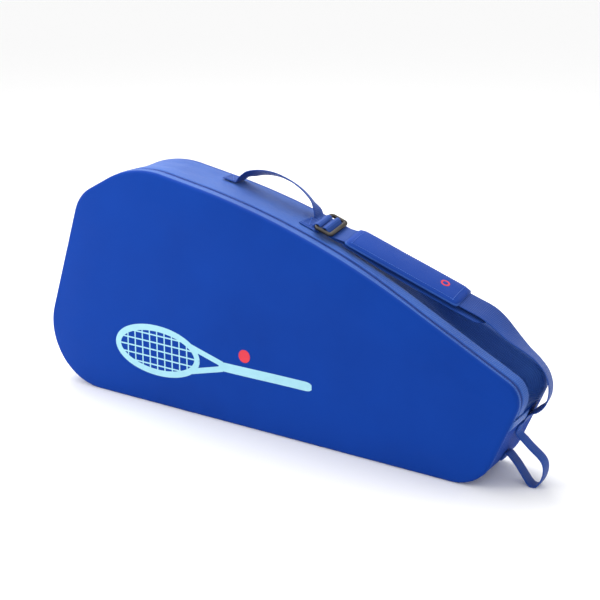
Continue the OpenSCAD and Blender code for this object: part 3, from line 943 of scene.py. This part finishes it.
# %% Zip teeth
TOOTH_PITCH = 1.6 * MM
tooth = bead("tooth", 1.15 * MM, 3.0 * MM, 1.6 * MM)
TOOTH_OFFSET = 1.45 * MM
TOOTH_DEPTH = 1.0 * MM


def teeth(name, start, side):
    path = outline_path(start, S_HEAD - 2 * MM, lambda s: zip_y(s) + side * TOOTH_OFFSET, TOOTH_DEPTH)
    return row(name, [path], TOOTH_PITCH, tooth, COIL)


teeth_front = teeth("zip_teeth_front", S_HANDLE + 2 * MM, -1)
teeth_back = teeth("zip_teeth_back", S_HANDLE + 2 * MM + TOOTH_PITCH / 2, 1)
settle_on_cover(teeth_front, ("zip_coil_front",))
settle(teeth_back, "case", ("zip_coil_back",))
bpy.data.objects.remove(tooth)
print("teeth:", len(teeth_front.data.polygons), "faces in the front row")

# %% [markdown]
# ## Webbing
#
# Webbing is a flat woven strap with slightly thinner edges. A ribbon helper lays one along a
# smooth path: at each point it finds which way is across and which way is up, from the run of
# the path and a roll angle, and puts a thin rounded section there.

# %% Ribbons
def smooth_path(rows, step=2 * MM):
    """Rows of x, y, z and any other values, joined smoothly at a close spacing."""
    rows = np.asarray(rows, float)
    gaps = hops(rows[:, :3])
    places = distances(rows[:, :3])
    slopes = np.gradient(rows, places, axis=0)
    dense = []
    for i, gap in enumerate(gaps):
        steps = max(1, int(round(gap / step)))
        for t in np.arange(steps) / steps:
            dense.append(
                (2 * t**3 - 3 * t**2 + 1) * rows[i] + (t**3 - 2 * t**2 + t) * gap * slopes[i]
                + (3 * t**2 - 2 * t**3) * rows[i + 1] + (t**3 - t**2) * gap * slopes[i + 1]
            )
    dense.append(rows[-1])
    return np.array(dense)


def frames_along(path, across_line):
    """Unit vectors across and up at each row of x, y, z, width and roll in degrees."""
    run = np.gradient(path[:, :3], axis=0)
    run /= np.linalg.norm(run, axis=1)[:, None]
    across = across_line - run * (run @ across_line)[:, None]
    across /= np.linalg.norm(across, axis=1)[:, None]
    up = np.cross(run, across)
    roll = np.radians(path[:, 4:5])
    return across * np.cos(roll) + up * np.sin(roll), up * np.cos(roll) - across * np.sin(roll)


def ribbon(name, path, thickness, material, waviness=0.25 * MM, across_line=(0, 1, 0)):
    """A webbing strap along rows of x, y, z, width and roll."""
    across, up = frames_along(path, np.array(across_line, float))
    share = np.sin(np.linspace(-90, 90, 11) * math.pi / 180)
    thin = 0.5 * thickness * (1 - 0.45 * share**8)
    runs = distances(path[:, :3])
    wave = waviness * np.array([[noise.noise(Vector((r * 30, u * 0.8, 5))) for u in share] for r in runs])
    middle = path[:, None, :3] + across[:, None] * (share[None, :, None] * path[:, None, 3:4] / 2)
    middle = middle + up[:, None] * wave[..., None]
    lift = up[:, None] * thin[None, :, None]
    uv = np.stack((
        np.broadcast_to(runs[:, None], wave.shape),
        share[None] * path[:, 3:4] / 2,
    ), -1)
    return strip_shell(name, middle + lift, middle - lift, uv, material, sharp=60)


def tab_path(start, stop, y, height, width):
    """Rows for webbing that lies flat on the outline."""
    runs = np.linspace(start, stop, max(3, int(abs(stop - start) / (3 * MM))))
    return [(*off(s, y, -height), width, 0) for s in runs]


def measured(path):
    """Length of a webbing path, in millimetres."""
    return round(distances(path[:, :3])[-1] / MM)


print("smooth path over a 30 mm gap:", len(smooth_path([(0, 0, 0), (30 * MM, 0, 0)])), "rows")

# %% [markdown]
# ## Carry handle and hang loop
#
# Each is one length of webbing whose ends are sewn flat to the bag. The sewn ends stay with
# the bag and the free part swings. Each is made as two halves that meet at the top.

# %% Handle and loop
WEBBING = 2 * MM
TAB_HEIGHT = 1.4 * MM
HANDLE_Y = 28 * MM
HANDLE_RUN = (top_run(46 * MM), top_run(-78 * MM))
HANDLE_HEIGHT = 30.5 * MM
HANDLE_WIDTH = 22 * MM
LOOP_RUN = (S_HANDLE - 62 * MM, S_HANDLE - 31 * MM)
LOOP_REACH = 56 * MM
LOOP_LEAN = math.radians(-45)
LOOP_WIDTH = 18 * MM


def handle_point(t):
    s = HANDLE_RUN[0] + (HANDLE_RUN[1] - HANDLE_RUN[0]) * (
        t - 0.12 * math.sin(2 * math.pi * t) / (2 * math.pi))
    height = 3.6 * MM + (HANDLE_HEIGHT - 3.6 * MM) * math.sin(math.pi * t) ** 0.75
    return (*off(s, HANDLE_Y, -height), HANDLE_WIDTH, -27 * min(1, 2.5 * math.sin(math.pi * t)))


def loop_point(t):
    foot_a, foot_b = (off(s, 0, -4 * MM) for s in LOOP_RUN)
    a = math.pi * t
    out = np.array((math.cos(LOOP_LEAN), 0, math.sin(LOOP_LEAN)))
    spread = math.cos(a) * (1 + 1.5 * math.sin(a) ** 2)
    place = (foot_a + foot_b) / 2 - (foot_b - foot_a) / 2 * spread
    return (*(place + out * LOOP_REACH * math.sin(a) ** 0.7), LOOP_WIDTH, 0)


def webbing_halves(name, ends, free, reach, width, y, nodes):
    """Two halves of a handle: a sewn end on the case and half of the free part."""
    halves = []
    length = 0
    for side, end, inner in (("a", ends[0], -1), ("b", ends[1], 1)):
        sewn = tab_path(end + inner * reach, end + inner * 2 * MM, y, TAB_HEIGHT, width)
        ts = np.linspace(0.04, 0.5, 12) if side == "a" else np.linspace(0.96, 0.5, 12)
        rows = np.array(sewn + [free(t) for t in ts])
        if side == "a":
            rows[:, 4] *= -1
        path = smooth_path(rows)
        length += measured(path)
        half = ribbon(f"{name}_{side}", path, WEBBING, WEBBING_CLOTH)
        bend_from = Vector(sewn[-2][:3])
        bend_to = Vector(free(0.12 if side == "a" else 0.88)[:3])
        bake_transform(half)
        halves.append(half)
    for half in halves:
        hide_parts(*nodes)
    print(name, "webbing", length, "mm long")


webbing_halves("carry_handle", HANDLE_RUN, handle_point, 22 * MM, HANDLE_WIDTH, HANDLE_Y,
               ("grab_handle", "handle_ends"))
webbing_halves("end_loop", LOOP_RUN, loop_point, 13 * MM, LOOP_WIDTH, 0,
               ("hang_loop", "loop_ends"))

# %% [markdown]
# ## Shoulder strap
#
# The strap runs straight from the buckle under its pad, then drops round the handle end to
# where it is sewn. Points on the straight part are easiest to give as distance along it, place
# across it and height above it, so one helper turns those into the bag's own directions. The
# spare length folds back under the pad.

# %% Strap
RUN_A = np.array((81, 2, 288)) * MM
RUN_B = np.array((273, 22, 211)) * MM
RUN_LENGTH = float(np.linalg.norm(RUN_B - RUN_A))
RUN_UNIT = unit(RUN_B - RUN_A)
RUN_ROLL = 6.0
STRAP_WIDTH = 38 * MM
STRAP_TURN = np.array(
    Matrix.Rotation(math.atan2(-RUN_UNIT[2], RUN_UNIT[0]), 3, "Y")
    @ Matrix.Rotation(math.asin(RUN_UNIT[1]), 3, "Z")
    @ Matrix.Rotation(math.radians(RUN_ROLL), 3, "X")
)


def on_strap(along, across=0.0, above=0.0):
    local = np.stack(np.broadcast_arrays(along, across, above), -1)
    return RUN_A + local @ STRAP_TURN.T


STRAP_TAIL = [
    (92, 23, 17, 38, -5), (72, 24, 14, 37, -14), (54, 24, 12, 36, -18), (40, 24, 11.5, 36, -18),
    (26, 23, 12, 36, -14), (12, 22, 12.5, 35, -9), (3, 21, 10, 34, -5), (-3, 20.5, 6, 32, -2),
    (-8, 20, 3.2, 32, 0), (-14, 20, 1.8, 31, 0), (-20, 20, 1.4, 30, 0),
]


def tail_row(row):
    above_end, y, height, width, roll = row
    return (*off(S_HANDLE + above_end * MM, y * MM, -height * MM), width * MM, roll)


def strap_rows():
    straight = [(*on_strap(d), STRAP_WIDTH, RUN_ROLL)
                for d in np.append(np.linspace(30 * MM, RUN_LENGTH, 9), RUN_LENGTH + 24 * MM)]
    return straight + [tail_row(row) for row in STRAP_TAIL]


strap_path = smooth_path(strap_rows())
strap = ribbon("strap_webbing_cloth", strap_path, WEBBING, WEBBING_CLOTH)
tuple(tail_row(STRAP_TAIL[-2])[:3])
tuple(tail_row(STRAP_TAIL[4])[:3])
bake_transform(strap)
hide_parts("strap_webbing", "strap_anchor_end")


def spare_rows():
    rows = []
    for d in np.linspace(31 * MM, RUN_LENGTH + 28 * MM, 26):
        past = max(0.0, d - RUN_LENGTH - 14 * MM) / (15 * MM)
        width = STRAP_WIDTH * math.sqrt(max(0.12, 1 - 0.9 * past**2))
        droop = smooth((d - 31 * MM) / (70 * MM))
        place = on_strap(d, (-3 - 3.5 * droop) * MM, (-4.4 - 0.2 * droop) * MM)
        rows.append((*place, width, RUN_ROLL + 2 * droop))
    return rows


spare_path = smooth_path(spare_rows())
spare = ribbon("spare_webbing_cloth", spare_path, 1.5 * MM, WEBBING_CLOTH)
settle(spare, "strap", ("stowed_webbing",))
print("strap", measured(strap_path), "mm long, spare part", measured(spare_path), "mm")

# %% [markdown]
# ## Strap pad
#
# The pad is a sleeve of foam in fabric round the strap. Its top is crowned and it pinches
# down towards the tape that binds its edge. A grid of top points over a grid of bottom
# points gives the form, and both grids share the rounded plan of a superellipse, so the
# corners come out soft.

# %% Pad body
PAD_FROM = 32 * MM
PAD_LENGTH = 165 * MM
PAD_WIDTH = 46 * MM
PAD_ROWS = 91
PAD_COLUMNS = 25
SEAM_INSET = 9 * MM
SEAM_SHARE = 0.86


def pad_half_width(along):
    """Half the pad's width at a distance along it, narrowing at the rounded ends."""
    u = np.abs(2 * (along - PAD_FROM) / PAD_LENGTH - 1)
    return PAD_WIDTH / 2 * np.clip(1 - np.clip(u, 0, 1) ** 60, 0.0, 1) ** 0.5


def pad_top(along, across):
    u = np.abs(2 * (along - PAD_FROM) / PAD_LENGTH - 1)
    half = np.maximum(pad_half_width(along), 1e-5)
    w = np.clip(np.abs(across) / half, 0, 1)
    crown = np.sqrt(np.clip(1 - w**3.2, 0, 1)) * np.clip(1 - u**14, 0, 1) ** 0.5
    quilting = 0.3 * MM * np.sin((along - PAD_FROM) * 62) * np.clip(1 - w, 0, 1)
    return 1.4 * MM + 5.6 * MM * crown + quilting * crown


def pad_shell():
    share = np.sin(np.linspace(-90, 90, PAD_COLUMNS) * math.pi / 180)
    ends = 0.5 - 0.5 * np.cos(np.linspace(0, math.pi, PAD_ROWS))
    along = PAD_FROM + PAD_LENGTH * (0.0015 + 0.997 * ends)
    a = np.broadcast_to(along[:, None], (PAD_ROWS, PAD_COLUMNS))
    c = share[None] * pad_half_width(along)[:, None]
    soft = 0.35 * MM * ripple(a, c, 0 * a, 26 * MM, 21)
    top = on_strap(a, c, pad_top(a, c) + soft)
    swell = 1 - np.abs(share[None]) ** 4
    under = on_strap(a, c, -1.0 * MM - 1.6 * MM * swell + 0.3 * soft)
    uv = np.stack((a, c), -1)
    return strip_shell("strap_pad_cushion", top, under, uv, PAD_CLOTH, sharp=60)


pad = pad_shell()
print("pad rows:", PAD_ROWS, "of", PAD_COLUMNS, "points, on each face")

# %% [markdown]
# The foam pushes its cover out between the stitch lines. A short cloth simulation does this:
# the edge and the stitch lines are pinned, a small pressure inflates the rest, and gravity is
# off. How far a point may move is capped, so that the pad keeps its size.

# %% Puff the pad
PUFF_FRAMES = 20
PUFF_CAP = 1.4 * MM
SEWN_COLUMNS = (0, 4, PAD_COLUMNS - 5, PAD_COLUMNS - 1)


def is_sewn(index):
    """True for the pad's edge and for its seams, two along it and two across."""
    last_row = PAD_ROWS - 1
    row_number, column = divmod(index % (PAD_ROWS * PAD_COLUMNS), PAD_COLUMNS)
    along_share = 0.5 - 0.5 * math.cos(math.pi * row_number / last_row)
    from_end = min(along_share, 1 - along_share) * PAD_LENGTH
    on_cross_seam = abs(from_end - SEAM_INSET) < 1.6 * MM
    return column in SEWN_COLUMNS or row_number in (0, last_row) or on_cross_seam


def puff(piece):
    group = piece.vertex_groups.new(name="sewn")
    group.add([v.index for v in piece.data.vertices if is_sewn(v.index)], 1.0, "REPLACE")
    rest = np.array([v.co[:] for v in piece.data.vertices])
    modifier = piece.modifiers.new("puff", "CLOTH")
    modifier.settings.quality = 6
    modifier.settings.mass = 0.02
    modifier.settings.use_pressure = True
    modifier.settings.uniform_pressure_force = 4.0
    modifier.settings.vertex_group_mass = "sewn"
    modifier.settings.effector_weights.gravity = 0
    modifier.point_cache.frame_start = 1
    modifier.point_cache.frame_end = PUFF_FRAMES
    for moment in range(1, PUFF_FRAMES + 1):
        bpy.context.scene.frame_set(moment)
    graph = bpy.context.evaluated_depsgraph_get()
    puffed = np.array([v.co[:] for v in piece.evaluated_get(graph).data.vertices])
    move = puffed - rest
    size = np.linalg.norm(move, axis=1)
    print("pad pushed out by up to", round(float(size.max()) / MM, 2), "mm")
    held = PUFF_CAP * np.tanh(size / PUFF_CAP) / np.maximum(size, 1e-9)
    piece.modifiers.remove(modifier)
    piece.vertex_groups.clear()
    bpy.context.scene.frame_set(1)
    piece.data.vertices.foreach_set("co", (rest + move * held[:, None]).astype(np.float32).ravel())
    piece.data.update()


puff(pad)
pad_points = [v.co.copy() for v in pad.data.vertices]
pad_tree = BVHTree.FromPolygons(pad_points, [f.vertices[:] for f in pad.data.polygons])
settle(pad, "strap_pad", ("strap_pad_cover", "strap_pad_foam", "strap_pad_underside"))
print("pad faces:", len(pad.data.polygons))

# %% [markdown]
# ## Buckle frame and pad binding
#
# Both are a rounded rectangle swept by a small rounded section, so one Geometry Nodes tree
# makes both: a Quadrilateral curve with filleted corners is the path, a second one is the
# section, and Curve to Mesh sweeps it. The sizes are inputs. The result is laid on the strap
# by its own transform once it is a plain mesh.

# %% Frame tree
def ring_tree():
    sizes = ("Length", "Width", "Corner", "Bar width", "Bar height")
    inputs = [(label, "Float") for label in sizes] + [("Finish", "Material")]
    tree = new_tree("swept_rectangle", inputs, "Ring")
    nodes = tree.nodes
    start = nodes.new("NodeGroupInput")
    plan = nodes.new("GeometryNodeCurvePrimitiveQuadrilateral")
    corners = add(nodes, "GeometryNodeFilletCurve", mode="POLY")
    corners.inputs["Count"].default_value = 9
    section = nodes.new("GeometryNodeCurvePrimitiveQuadrilateral")
    softened = add(nodes, "GeometryNodeFilletCurve", mode="POLY")
    softened.inputs["Count"].default_value = 4
    softness = add(nodes, "ShaderNodeMath", operation="MULTIPLY")
    softness.inputs[1].default_value = 0.36
    sweep = nodes.new("GeometryNodeCurveToMesh")
    real = nodes.new("GeometryNodeRealizeInstances")
    finish = nodes.new("GeometryNodeSetMaterial")
    end = nodes.new("NodeGroupOutput")
    wire(tree, [
        (start, "Length", plan, "Width"),
        (start, "Width", plan, "Height"),
        (plan, "Curve", corners, "Curve"),
        (start, "Corner", corners, "Radius"),
        (start, "Bar width", section, "Width"),
        (start, "Bar height", section, "Height"),
        (start, "Bar height", softness, 0),
        (section, "Curve", softened, "Curve"),
        (softness, 0, softened, "Radius"),
        (corners, "Curve", sweep, "Curve"),
        (softened, "Curve", sweep, "Profile Curve"),
        (sweep, "Mesh", real, "Geometry"),
        (real, "Geometry", finish, "Geometry"),
        (start, "Finish", finish, "Material"),
        (finish, "Geometry", end, "Ring"),
    ])
    return tree


RING_TREE = ring_tree()


def swept_ring(name, length, width, corner, bar, centre, material):
    """A swept rectangle laid on the strap; bar is its section's width and height."""
    carrier = add_object("seed", bpy.data.meshes.new("seed"))
    sizes = {"Length": length, "Width": width, "Corner": corner,
             "Bar width": bar[0], "Bar height": bar[1], "Finish": material}
    piece = grow(carrier, RING_TREE, sizes, name)
    verts = np.zeros(len(piece.data.vertices) * 3, np.float32)
    piece.data.vertices.foreach_get("co", verts)
    verts = verts.reshape(-1, 3)
    placed = on_strap(verts[:, 0] + centre[0], verts[:, 1] + centre[1], verts[:, 2] + centre[2])
    piece.data.vertices.foreach_set("co", placed.astype(np.float32).ravel())
    map_cloth(piece.data, verts[:, :2] + verts[:, 2:3])
    shade(piece.data, 50)
    return piece


print("swept rectangle tree:", len(RING_TREE.nodes), "nodes")


# %% [markdown]
# The buckle is a metal frame with a fixed middle bar. The strap's end wraps over the middle
# bar, and a sewn loop holds the frame by its end bar.

# %% Buckle and binding
BUCKLE_LENGTH = 50 * MM
BUCKLE_WIDTH = 27 * MM
BAR = (5.8 * MM, 4.0 * MM)


def refinish(node, material):
    """Gives a piece of the solid model a finish made here."""
    mesh = frame["nodes"][node].data
    mesh.materials.clear()
    mesh.materials.append(material)


buckle = swept_ring("buckle_frame_metal", BUCKLE_WIDTH - BAR[0] + MM, BUCKLE_LENGTH - BAR[0],
                    4 * MM, BAR, (0, 0, 0), METAL)
settle(buckle, "strap_adjuster", ("buckle_frame",))
refinish("buckle_bar", METAL)
pad_edge = swept_ring("pad_edge_tape", PAD_LENGTH - 2.2 * MM, PAD_WIDTH - 1.6 * MM, 3 * MM,
                      (2.6 * MM, 3.0 * MM), (PAD_FROM + PAD_LENGTH / 2, 0, 0.5 * MM), BINDING_CLOTH)
settle(pad_edge, "strap_pad")
bar_loop_rows = [
    (30, -0.4), (24, -1.6), (17, -3.0), (9, -2.9), (4.2, 0.4), (2.0, 2.5), (0, 3.0), (-2.2, 2.2),
    (-3.1, 0), (-2.4, -2.4), (0, -3.6), (5, -4.9), (12, -5.4), (24, -5.0), (30, -4.4),
]
bar_loop = ribbon("bar_webbing_cloth",
                  smooth_path([(*on_strap(d * MM, 0, v * MM), STRAP_WIDTH - 1 * MM, 0)
                               for d, v in bar_loop_rows], 0.8 * MM),
                  1.5 * MM, WEBBING_CLOTH, 0, STRAP_TURN[:, 1])
tuple(on_strap(13 * MM))
tuple(on_strap(30 * MM))
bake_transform(bar_loop)
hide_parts("buckle_webbing")
print("buckle faces:", len(buckle.data.polygons))

# %% [markdown]
# A tab is sewn to the gusset behind the buckle. A narrow loop comes off it, wraps round the
# frame's end bar and comes back.

# %% Sewn loop that holds the buckle
anchor = ribbon("anchor_tab_cloth",
                smooth_path(tab_path(top_run(70 * MM), top_run(42 * MM), 2 * MM, TAB_HEIGHT, 32 * MM)),
                WEBBING, WEBBING_CLOTH)
settle(anchor, "case", ("strap_anchor_mid",))
END_BAR = -BUCKLE_WIDTH / 2 + BAR[0] / 2


def holding_rows():
    lift = [(*off(top_run(x * MM), 0, -h * MM), 18 * MM, 0) for x, h in ((57, 5.0), (62, 5.4))]
    wrap = [(-4.4, -1.0), (-3.3, 1.9), (0, 3.2), (3.2, 2.0), (4.0, 0), (2.6, -2.4), (-2.0, -3.3)]
    around = [(*on_strap(END_BAR + d * MM, -2.5 * MM, v * MM), 33 * MM, 0) for d, v in wrap]
    return lift + around


holder = ribbon("holding_loop_cloth", smooth_path(holding_rows(), 0.8 * MM), 1.4 * MM,
                WEBBING_CLOTH, 0, STRAP_TURN[:, 1])
tuple(holding_rows()[1][:3])
tuple(on_strap(END_BAR - 3 * MM, 0, 0))
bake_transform(holder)
print("holding loop faces:", len(holder.data.polygons))

# %% [markdown]
# ## Print
#
# The printed racket and ball are thin films on the front panel. They are drawn as strokes in
# the X-Z plane and dropped onto the panel's face by casting a ray at each point, so that they
# follow its crown and its soft ripples.

# %% Print
bpy.context.view_layer.update()
HEAD = np.array((-166, 84)) * MM


def on_face(x, z, lift):
    place = front_panel.ray_cast(Vector((x, -0.3, z)), Vector((0, 1, 0)))[1]
    return (x, place[1] - lift, z)


def film(name, strokes, material, lift=0.12 * MM):
    """strokes are (points, width, extra lift) in the X-Z plane; each becomes a thin strip."""
    verts, faces = [], []
    for points, widths, extra in strokes:
        points = np.asarray(points, float)
        widths = np.broadcast_to(widths, len(points))
        run = np.gradient(points, axis=0)
        run /= np.linalg.norm(run, axis=1)[:, None]
        side = np.stack((-run[:, 1], run[:, 0]), -1)
        columns = np.linspace(-0.5, 0.5, 5)
        grid = points[:, None] + side[:, None] * columns[None, :, None] * widths[:, None, None]
        n, k = grid.shape[:2]
        first = len(verts)
        flat = grid.reshape(-1, 2)
        verts += [on_face(x, z, lift + extra) for x, z in flat]
        verts += [on_face(x, z, extra - 0.1 * MM) for x, z in flat]
        faces += strip_faces(n, k, first, first + n * k)
    verts = np.array(verts)
    return finish_mesh(name, verts, faces, verts[:, [0, 2]], material, sharp=60)


def oval(radius_x, radius_z, count=97):
    a = np.linspace(0, 2 * math.pi, count)
    return HEAD + np.stack((radius_x * np.cos(a), radius_z * np.sin(a)), -1)


def line(x0, z0, x1, z1, count=24):
    t = np.linspace(0, 1, count)[:, None]
    return HEAD + (np.array((x0, z0)) * (1 - t) + np.array((x1, z1)) * t) * MM


def racket_strokes():
    strokes = [(oval(69.5 * MM, 32.5 * MM), 9 * MM, 0.1 * MM)]
    for k in range(-4, 5):
        reach = 31.5 * math.sqrt(1 - (k * 13 / 68) ** 2)
        strokes.append((line(k * 13, -reach, k * 13, reach), 2 * MM, 0))
    for k in range(-2, 3):
        reach = 68 * math.sqrt(1 - (k * 11 / 31.5) ** 2)
        strokes.append((line(-reach, k * 11, reach, k * 11), 2 * MM, 0.04 * MM))
    for side in (-1, 1):
        strokes.append((line(56, 19 * side, 112, 3.4 * side), 8 * MM, 0.06 * MM))
    widths = 13 * MM * np.ones(48)
    widths[-3:] = (12.4 * MM, 11 * MM, 7 * MM)
    strokes.append((line(106, 0, 253, 0, 48), widths, 0.08 * MM))
    return strokes


def disc_stroke(x, z, radius):
    t = np.linspace(-0.995, 0.995, 31)
    points = np.stack((x + radius * t, np.full(31, z)), -1)
    return [(points, 2 * radius * np.sqrt(1 - t**2), 0)]


racket = film("panel_print_racket", racket_strokes(), AQUA)
ball = film("panel_print_dot", disc_stroke(-18 * MM, 106 * MM, 9 * MM), RED, 0.3 * MM)
settle_on_cover(racket, ("panel_print",))
settle_on_cover(ball, ("panel_print_ball",))
print("print faces:", len(racket.data.polygons), "in the racket")

# %% [markdown]
# The pad carries a small printed ring. It is cast onto the pad in the same way, from above.

# %% Ring on the pad

def pad_ring():
    centre = PAD_FROM + PAD_LENGTH - 30 * MM
    a = np.linspace(0, 2 * math.pi, 49)
    radii = np.linspace(3.6 * MM, 6 * MM, 4)
    along = centre + radii[None] * np.cos(a)[:, None]
    across = radii[None] * np.sin(a)[:, None]
    above = on_strap(along, across, np.full(along.shape, 20 * MM))
    down = -Vector(STRAP_TURN[:, 2])
    places = [pad_tree.ray_cast(Vector(point), down)[0] for point in above.reshape(-1, 3)]
    face = np.array(places).reshape(above.shape)
    outer = face + 0.15 * MM * STRAP_TURN[:, 2]
    inner = face - 0.3 * MM * STRAP_TURN[:, 2]
    return strip_shell("pad_ring_print", outer, inner, np.stack((along, across), -1), RED)


ring_mark = pad_ring()
settle(ring_mark, "strap_pad", ("pad_mark",))
print("ring faces:", len(ring_mark.data.polygons))

# %% [markdown]
# ## Stitches
#
# Seams are held by lockstitch: on top it shows as short raised grains of thread, 3 mm long
# and 3.8 mm apart. The same row tree sets them along paths on each piece: beside the zip,
# beside the panel seams, round the sewn tabs and across the ends of the pad.

# %% Stitch paths
STITCH_PITCH = 3.8 * MM
STITCH_LIFT = 0.12 * MM
EDGE_SEAM = EDGE_Y - 2.6 * MM
stitch = bead("stitch", 3.0 * MM, 0.75 * MM, 0.6 * MM)


def flat_stitch_path(start, stop, y_of, height=0.15 * MM):
    return outline_path(start, stop, y_of, -height)


def gusset_depth_at(s, y):
    ys, depths = gusset_profile(s)
    return float(np.interp(y, ys, depths))


def gusset_stitch_path(start, stop, y_of):
    runs = np.linspace(start, stop, int((stop - start) / (3 * MM)))
    ys = np.array([float(y_of(s)) for s in runs])
    depths = np.array([gusset_depth_at(s, y) for s, y in zip(runs, ys)])
    return off(runs, ys, depths - STITCH_LIFT), outward(runs)


def box_path(s0, s1, y, half, height=2.7 * MM):
    """A box with one diagonal across it, on a sewn tab."""
    corners = [(s0, y - half), (s0, y + half), (s1, y + half), (s1, y - half), (s0, y - half),
               (s1, y + half)]
    points = []
    for (sa, ya), (sb, yb) in zip(corners, corners[1:]):
        for t in np.linspace(0, 1, 7)[:-1]:
            points.append((sa + (sb - sa) * t, ya + (yb - ya) * t))
    points.append(corners[-1])
    runs, ys = np.array(points).T
    return off(runs, ys, -height), outward(runs)


def strap_line(along, across):
    """A stitch path on top of the pad."""
    points = on_strap(along, across, pad_top(along, across) + 0.3 * MM)
    return points, np.broadcast_to(STRAP_TURN[:, 2], points.shape)


def pad_end_path(along):
    across = np.linspace(-SEAM_SHARE, SEAM_SHARE, 20) * PAD_WIDTH / 2
    return strap_line(np.full(20, along), across)


def pad_side_path(side):
    along = PAD_FROM + np.linspace(SEAM_INSET, PAD_LENGTH - SEAM_INSET, 60)
    return strap_line(along, np.full(60, side * SEAM_SHARE * PAD_WIDTH / 2))


print("one stitch:", len(stitch.data.polygons), "faces")

# %% [markdown]
# Each seam is one row or a few, and goes with the piece that it holds.

# %% Sew the seams
strip_seams = row("strip_stitches", [
    flat_stitch_path(S_HANDLE + 3 * MM, S_HEAD - 3 * MM, lambda s: zip_y(s) - 4.6 * MM, 0.5 * MM),
], STITCH_PITCH, stitch, THREAD)
settle_on_cover(strip_seams)
gusset_seams = row("gusset_stitches", [
    gusset_stitch_path(S_HANDLE + 4 * MM, S_HEAD - 3 * MM, lambda s: zip_y(s) + 4.8 * MM),
    gusset_stitch_path(S_HANDLE + 4 * MM, S_HEAD - 3 * MM, lambda s: EDGE_SEAM),
], STITCH_PITCH, stitch, THREAD)
settle(gusset_seams, "case")
base_seams = row("base_stitches", [
    flat_stitch_path(S_HEAD, S_HANDLE + LAP, lambda s: -EDGE_SEAM),
    flat_stitch_path(S_HEAD, S_HANDLE + LAP, lambda s: EDGE_SEAM),
], STITCH_PITCH, stitch, THREAD)
settle(base_seams, "case")
tab_seams = row("tab_stitches", [
    box_path(HANDLE_RUN[0] - 19 * MM, HANDLE_RUN[0] - 5 * MM, HANDLE_Y, 9 * MM),
    box_path(HANDLE_RUN[1] + 5 * MM, HANDLE_RUN[1] + 19 * MM, HANDLE_Y, 9 * MM),
    box_path(LOOP_RUN[0] - 11 * MM, LOOP_RUN[0] - 4 * MM, 0, 6 * MM),
    box_path(LOOP_RUN[1] + 4 * MM, LOOP_RUN[1] + 11 * MM, 0, 6 * MM),
    box_path(top_run(54 * MM), top_run(44 * MM), 2 * MM, 12 * MM),
], 2.6 * MM, stitch, THREAD)
settle(tab_seams, "case")
pad_seams = row("pad_stitches", [
    pad_end_path(PAD_FROM + SEAM_INSET), pad_end_path(PAD_FROM + PAD_LENGTH - SEAM_INSET),
    pad_side_path(-1), pad_side_path(1),
], 3.2 * MM, stitch, THREAD)
settle(pad_seams, "strap_pad")
bpy.data.objects.remove(stitch)
print("stitch faces:", sum(len(o.data.polygons) for o in bpy.data.objects if "stitches" in o.name))

# %% [markdown]
# ## Hard pieces that keep their shape
#
# The zip's sliders, pulls and end stops and the stiffening board come straight from the solid
# model. They only need finishes: plated metal, moulded rubber and pressed board.

# %% Finishes on carried-over pieces
for node in ("zip_slider_upper", "zip_slider_lower", "zip_stops"):
    refinish(node, METAL)
for node in ("zip_pull_upper", "zip_pull_lower"):
    refinish(node, RUBBER)
refinish("base_board", BOARD)
print("plated:", METAL.name, "moulded:", RUBBER.name, "pressed:", BOARD.name)
